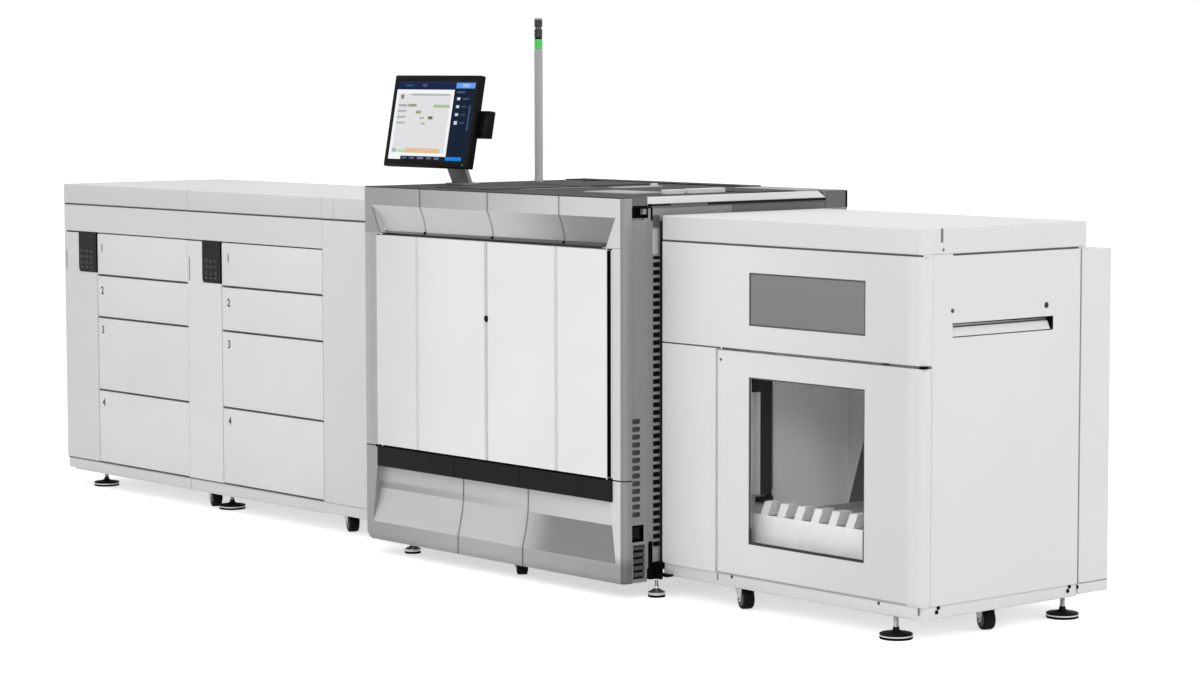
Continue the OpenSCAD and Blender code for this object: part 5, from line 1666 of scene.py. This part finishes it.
class PRINTER_OT_castors(PrinterOperator):
    """Builds the castors: tyre, hub, fork, swivel and mounting plate"""

    bl_idname = "printer.castors"
    bl_label = "Castors"

    # swivel along, into, mounting height and the direction of the wheel in degrees
    PLACES = ((-1453, 277, 98, -20), (-473, 277, 98, -20), (-1453, 939, 98, 20),
              (-473, 939, 98, 20), (810, 116, 100, -40), (810, 981, 100, 40),
              (1884, 222.8, 98, -20), (1884, 882.2, 98, 20), (2698, 546, 98, -20))

    def make(self):
        origin = self.PLACES[0]
        wheel, fork = self.wheel(origin), self.fork(origin)
        wheels, forks = [], []
        for x, y, top, turn in self.PLACES:
            for source, row in ((wheel, wheels), (fork, forks)):
                made = moved(source, "castor", x - origin[0], y - origin[1], 0, turn, origin[:3])
                row.append(made)
            forks.append(self.mount(x, y, top))
        for source in (wheel, fork):
            bpy.data.objects.remove(source)
        fit(gather("castor_wheel_set", wheels), SLOT["castor_wheels"], LINE, "castor_wheels")
        fit(gather("castor_fork_set", forks), SLOT["castor_forks"], LINE, "castor_forks")

    def wheel(self, origin):
        """Tyre with rounded shoulders and a hub, its axle across the line, 20 mm behind."""
        x, y = origin[0] + 20, origin[1]
        parts = [
            drum("tyre", (x, y, 36), 36, 40, "Y", "tyre", 7.0, 40),
            drum("hub", (x, y, 36), 24, 43, "Y", "hub_grey", 1.5, 32),
            drum("boss", (x, y, 36), 9, 44, "Y", "plated_steel", 1.0, 24),
        ]
        return gather("castor_wheel", parts)

    def fork(self, origin):
        """Two cheeks and the crown over the wheel, with the axle bolt."""
        x, y = origin[0], origin[1]
        parts = []
        for side in (-1, 1):
            cheek = slab("cheek", (x + 9, x + 31), (y + side * 24.5 - 1.5, y + side * 24.5 + 1.5),
                         (26, 79), "zinc")
            round_off(cheek, "y", 0.0108, 6, lambda edge: edge.verts[0].co.z < 0.04)
            for grow in (-0.034, 0.006):
                nudge(cheek, lambda vert: vert.co.z > 0.07
                      and (vert.co.x < at(x + 20, 0, 0).x) == (grow < 0), (grow, 0, 0))
            smooth(cheek)
            parts.append(cheek)
        parts.append(slab("crown", (x - 27, x + 38), (y - 26, y + 26), (76, 79.5),
                          "plated_steel", 1.2))
        parts.append(drum("swivel", (x, y, 85), 16, 12, "Z", "plated_steel", 2.0, 28))
        parts.append(drum("axle", (x + 20, y, 36), 5, 56, "Y", "dull_steel", 1.0, 20))
        return gather("castor_fork", parts)

    def mount(self, x, y, top):
        return drum("mount", (x, y, (90 + top) / 2), 20, top - 90, "Z", "plated_steel", 1.0, 28)


class PRINTER_OT_studio(PrinterOperator):
    """Sets up the floor, the soft lights and the camera"""

    bl_idname = "printer.studio"
    bl_label = "Studio"

    def make(self):
        clear()
        bpy.ops.mesh.primitive_plane_add(size=80, location=(0, 0, 0))
        floor = settle("studio_floor")
        floor.data.materials.append(self.floor_finish())
        self.sky()
        for name, place, aim, width, power in (
            ("key_light", (6.5, -7.5, 5.5), (0.5, 0, 0.8), 4.0, 250.0),
            ("top_light", (0.0, -1.0, 6.5), (0, 0, 0.5), 6.0, 110.0),
            ("side_light", (8.5, 3.0, 3.5), (2.6, 0.2, 0.7), 4.0, 105.0),
        ):
            bpy.ops.object.light_add(type="AREA", location=place)
            lamp = bpy.context.object
            lamp.name = name
            lamp.data.size, lamp.data.energy = width, power
            lamp.rotation_euler = (Vector(aim) - Vector(place)).to_track_quat("-Z", "Y").to_euler()
        self.camera()

    def floor_finish(self):
        made, tree, shader = blank("studio_floor")
        shader.inputs["Roughness"].default_value = 0.9
        grain = spread(tree, noise(tree, 3.0, 3.0), 0.3, 0.7, 0.80, 0.82)
        tree.links.new(tinted(tree, (1.0, 1.0, 1.0), grain), shader.inputs["Base Color"])
        shader.inputs["Specular IOR Level"].default_value = 0.1
        lift = add(tree, "ShaderNodeEmission", None, {
            "Color": (1, 1, 1, 1), "Strength": times(tree, seen(tree), 0.60)})
        both = add(tree, "ShaderNodeAddShader", None, {0: shader.outputs[0], 1: lift.outputs[0]})
        tree.links.new(both.outputs[0], tree.nodes["Material Output"].inputs["Surface"])
        return made

    def sky(self):
        world = bpy.data.worlds.new("studio_sky")
        bpy.context.scene.world = world
        world.use_nodes = True
        tree = world.node_tree
        level = add(tree, "ShaderNodeMapRange", None, {
            "Value": seen(tree), "To Min": 0.66, "To Max": 1.0})
        back = tree.nodes["Background"]
        back.inputs["Color"].default_value = (1, 1, 1, 1)
        tree.links.new(level.outputs["Result"], back.inputs["Strength"])

    def camera(self):
        """Camera at the height of an operator's eyes, off the stacker's right front corner."""
        round_by, rise, roll, place = 0.8628, 0.0854, -0.0014, (9.6364, -7.7266, 1.859)
        s, c = math.sin(round_by), math.cos(round_by)
        back = Vector((s * math.cos(rise), -c * math.cos(rise), math.sin(rise)))
        right = Vector((c, s, 0.0))
        up = back.cross(right)
        axes = Matrix((right, up, back)).transposed() @ Matrix.Rotation(roll, 3, "Z")
        bpy.ops.object.camera_add(location=place, rotation=axes.to_euler())
        camera = bpy.context.object
        camera.name = "studio_camera"
        camera.data.lens, camera.data.sensor_width = 95.25, 36.0
        camera.data.clip_end = 200.0
        bpy.context.scene.camera = camera
        bpy.context.scene.view_settings.view_transform = "Standard"


OPERATORS = (
    PRINTER_OT_shells, PRINTER_OT_drawers, PRINTER_OT_paper_module, PRINTER_OT_engine_front,
    PRINTER_OT_engine_side, PRINTER_OT_engine_top, PRINTER_OT_engine_back, PRINTER_OT_monitor,
    PRINTER_OT_signal_tower, PRINTER_OT_stacker_front, PRINTER_OT_stacker_bay,
    PRINTER_OT_stacker_side, PRINTER_OT_docking, PRINTER_OT_feet, PRINTER_OT_castors,
    PRINTER_OT_studio,
)


class PRINTER_PT_panel(bpy.types.Panel):
    """Lists the steps that dress the printer"""

    bl_idname = "PRINTER_PT_panel"
    bl_label = "Printer"
    bl_space_type = "VIEW_3D"
    bl_region_type = "UI"
    bl_category = "Printer"

    def draw(self, context):
        layout = self.layout
        for group_name in ("printer_sizes", "printer_colours"):
            held = getattr(context.scene, group_name)
            box = layout.box()
            for key in held.bl_rna.properties.keys():
                if key not in ("rna_type", "name"):
                    box.prop(held, key)
        for step in OPERATORS:
            layout.operator(step.bl_idname)


CLASSES = [PrinterSizes, PrinterColours, *OPERATORS, PRINTER_PT_panel]


def register():
    for item in CLASSES:
        bpy.utils.register_class(item)
    bpy.types.Scene.printer_sizes = PointerProperty(type=PrinterSizes)
    bpy.types.Scene.printer_colours = PointerProperty(type=PrinterColours)


def unregister():
    del bpy.types.Scene.printer_sizes
    del bpy.types.Scene.printer_colours
    for item in reversed(CLASSES):
        bpy.utils.unregister_class(item)


def main():
    register()
    for step in OPERATORS:
        family, name = step.bl_idname.split(".")
        getattr(getattr(bpy.ops, family), name)()


if __name__ == "__main__":
    main()
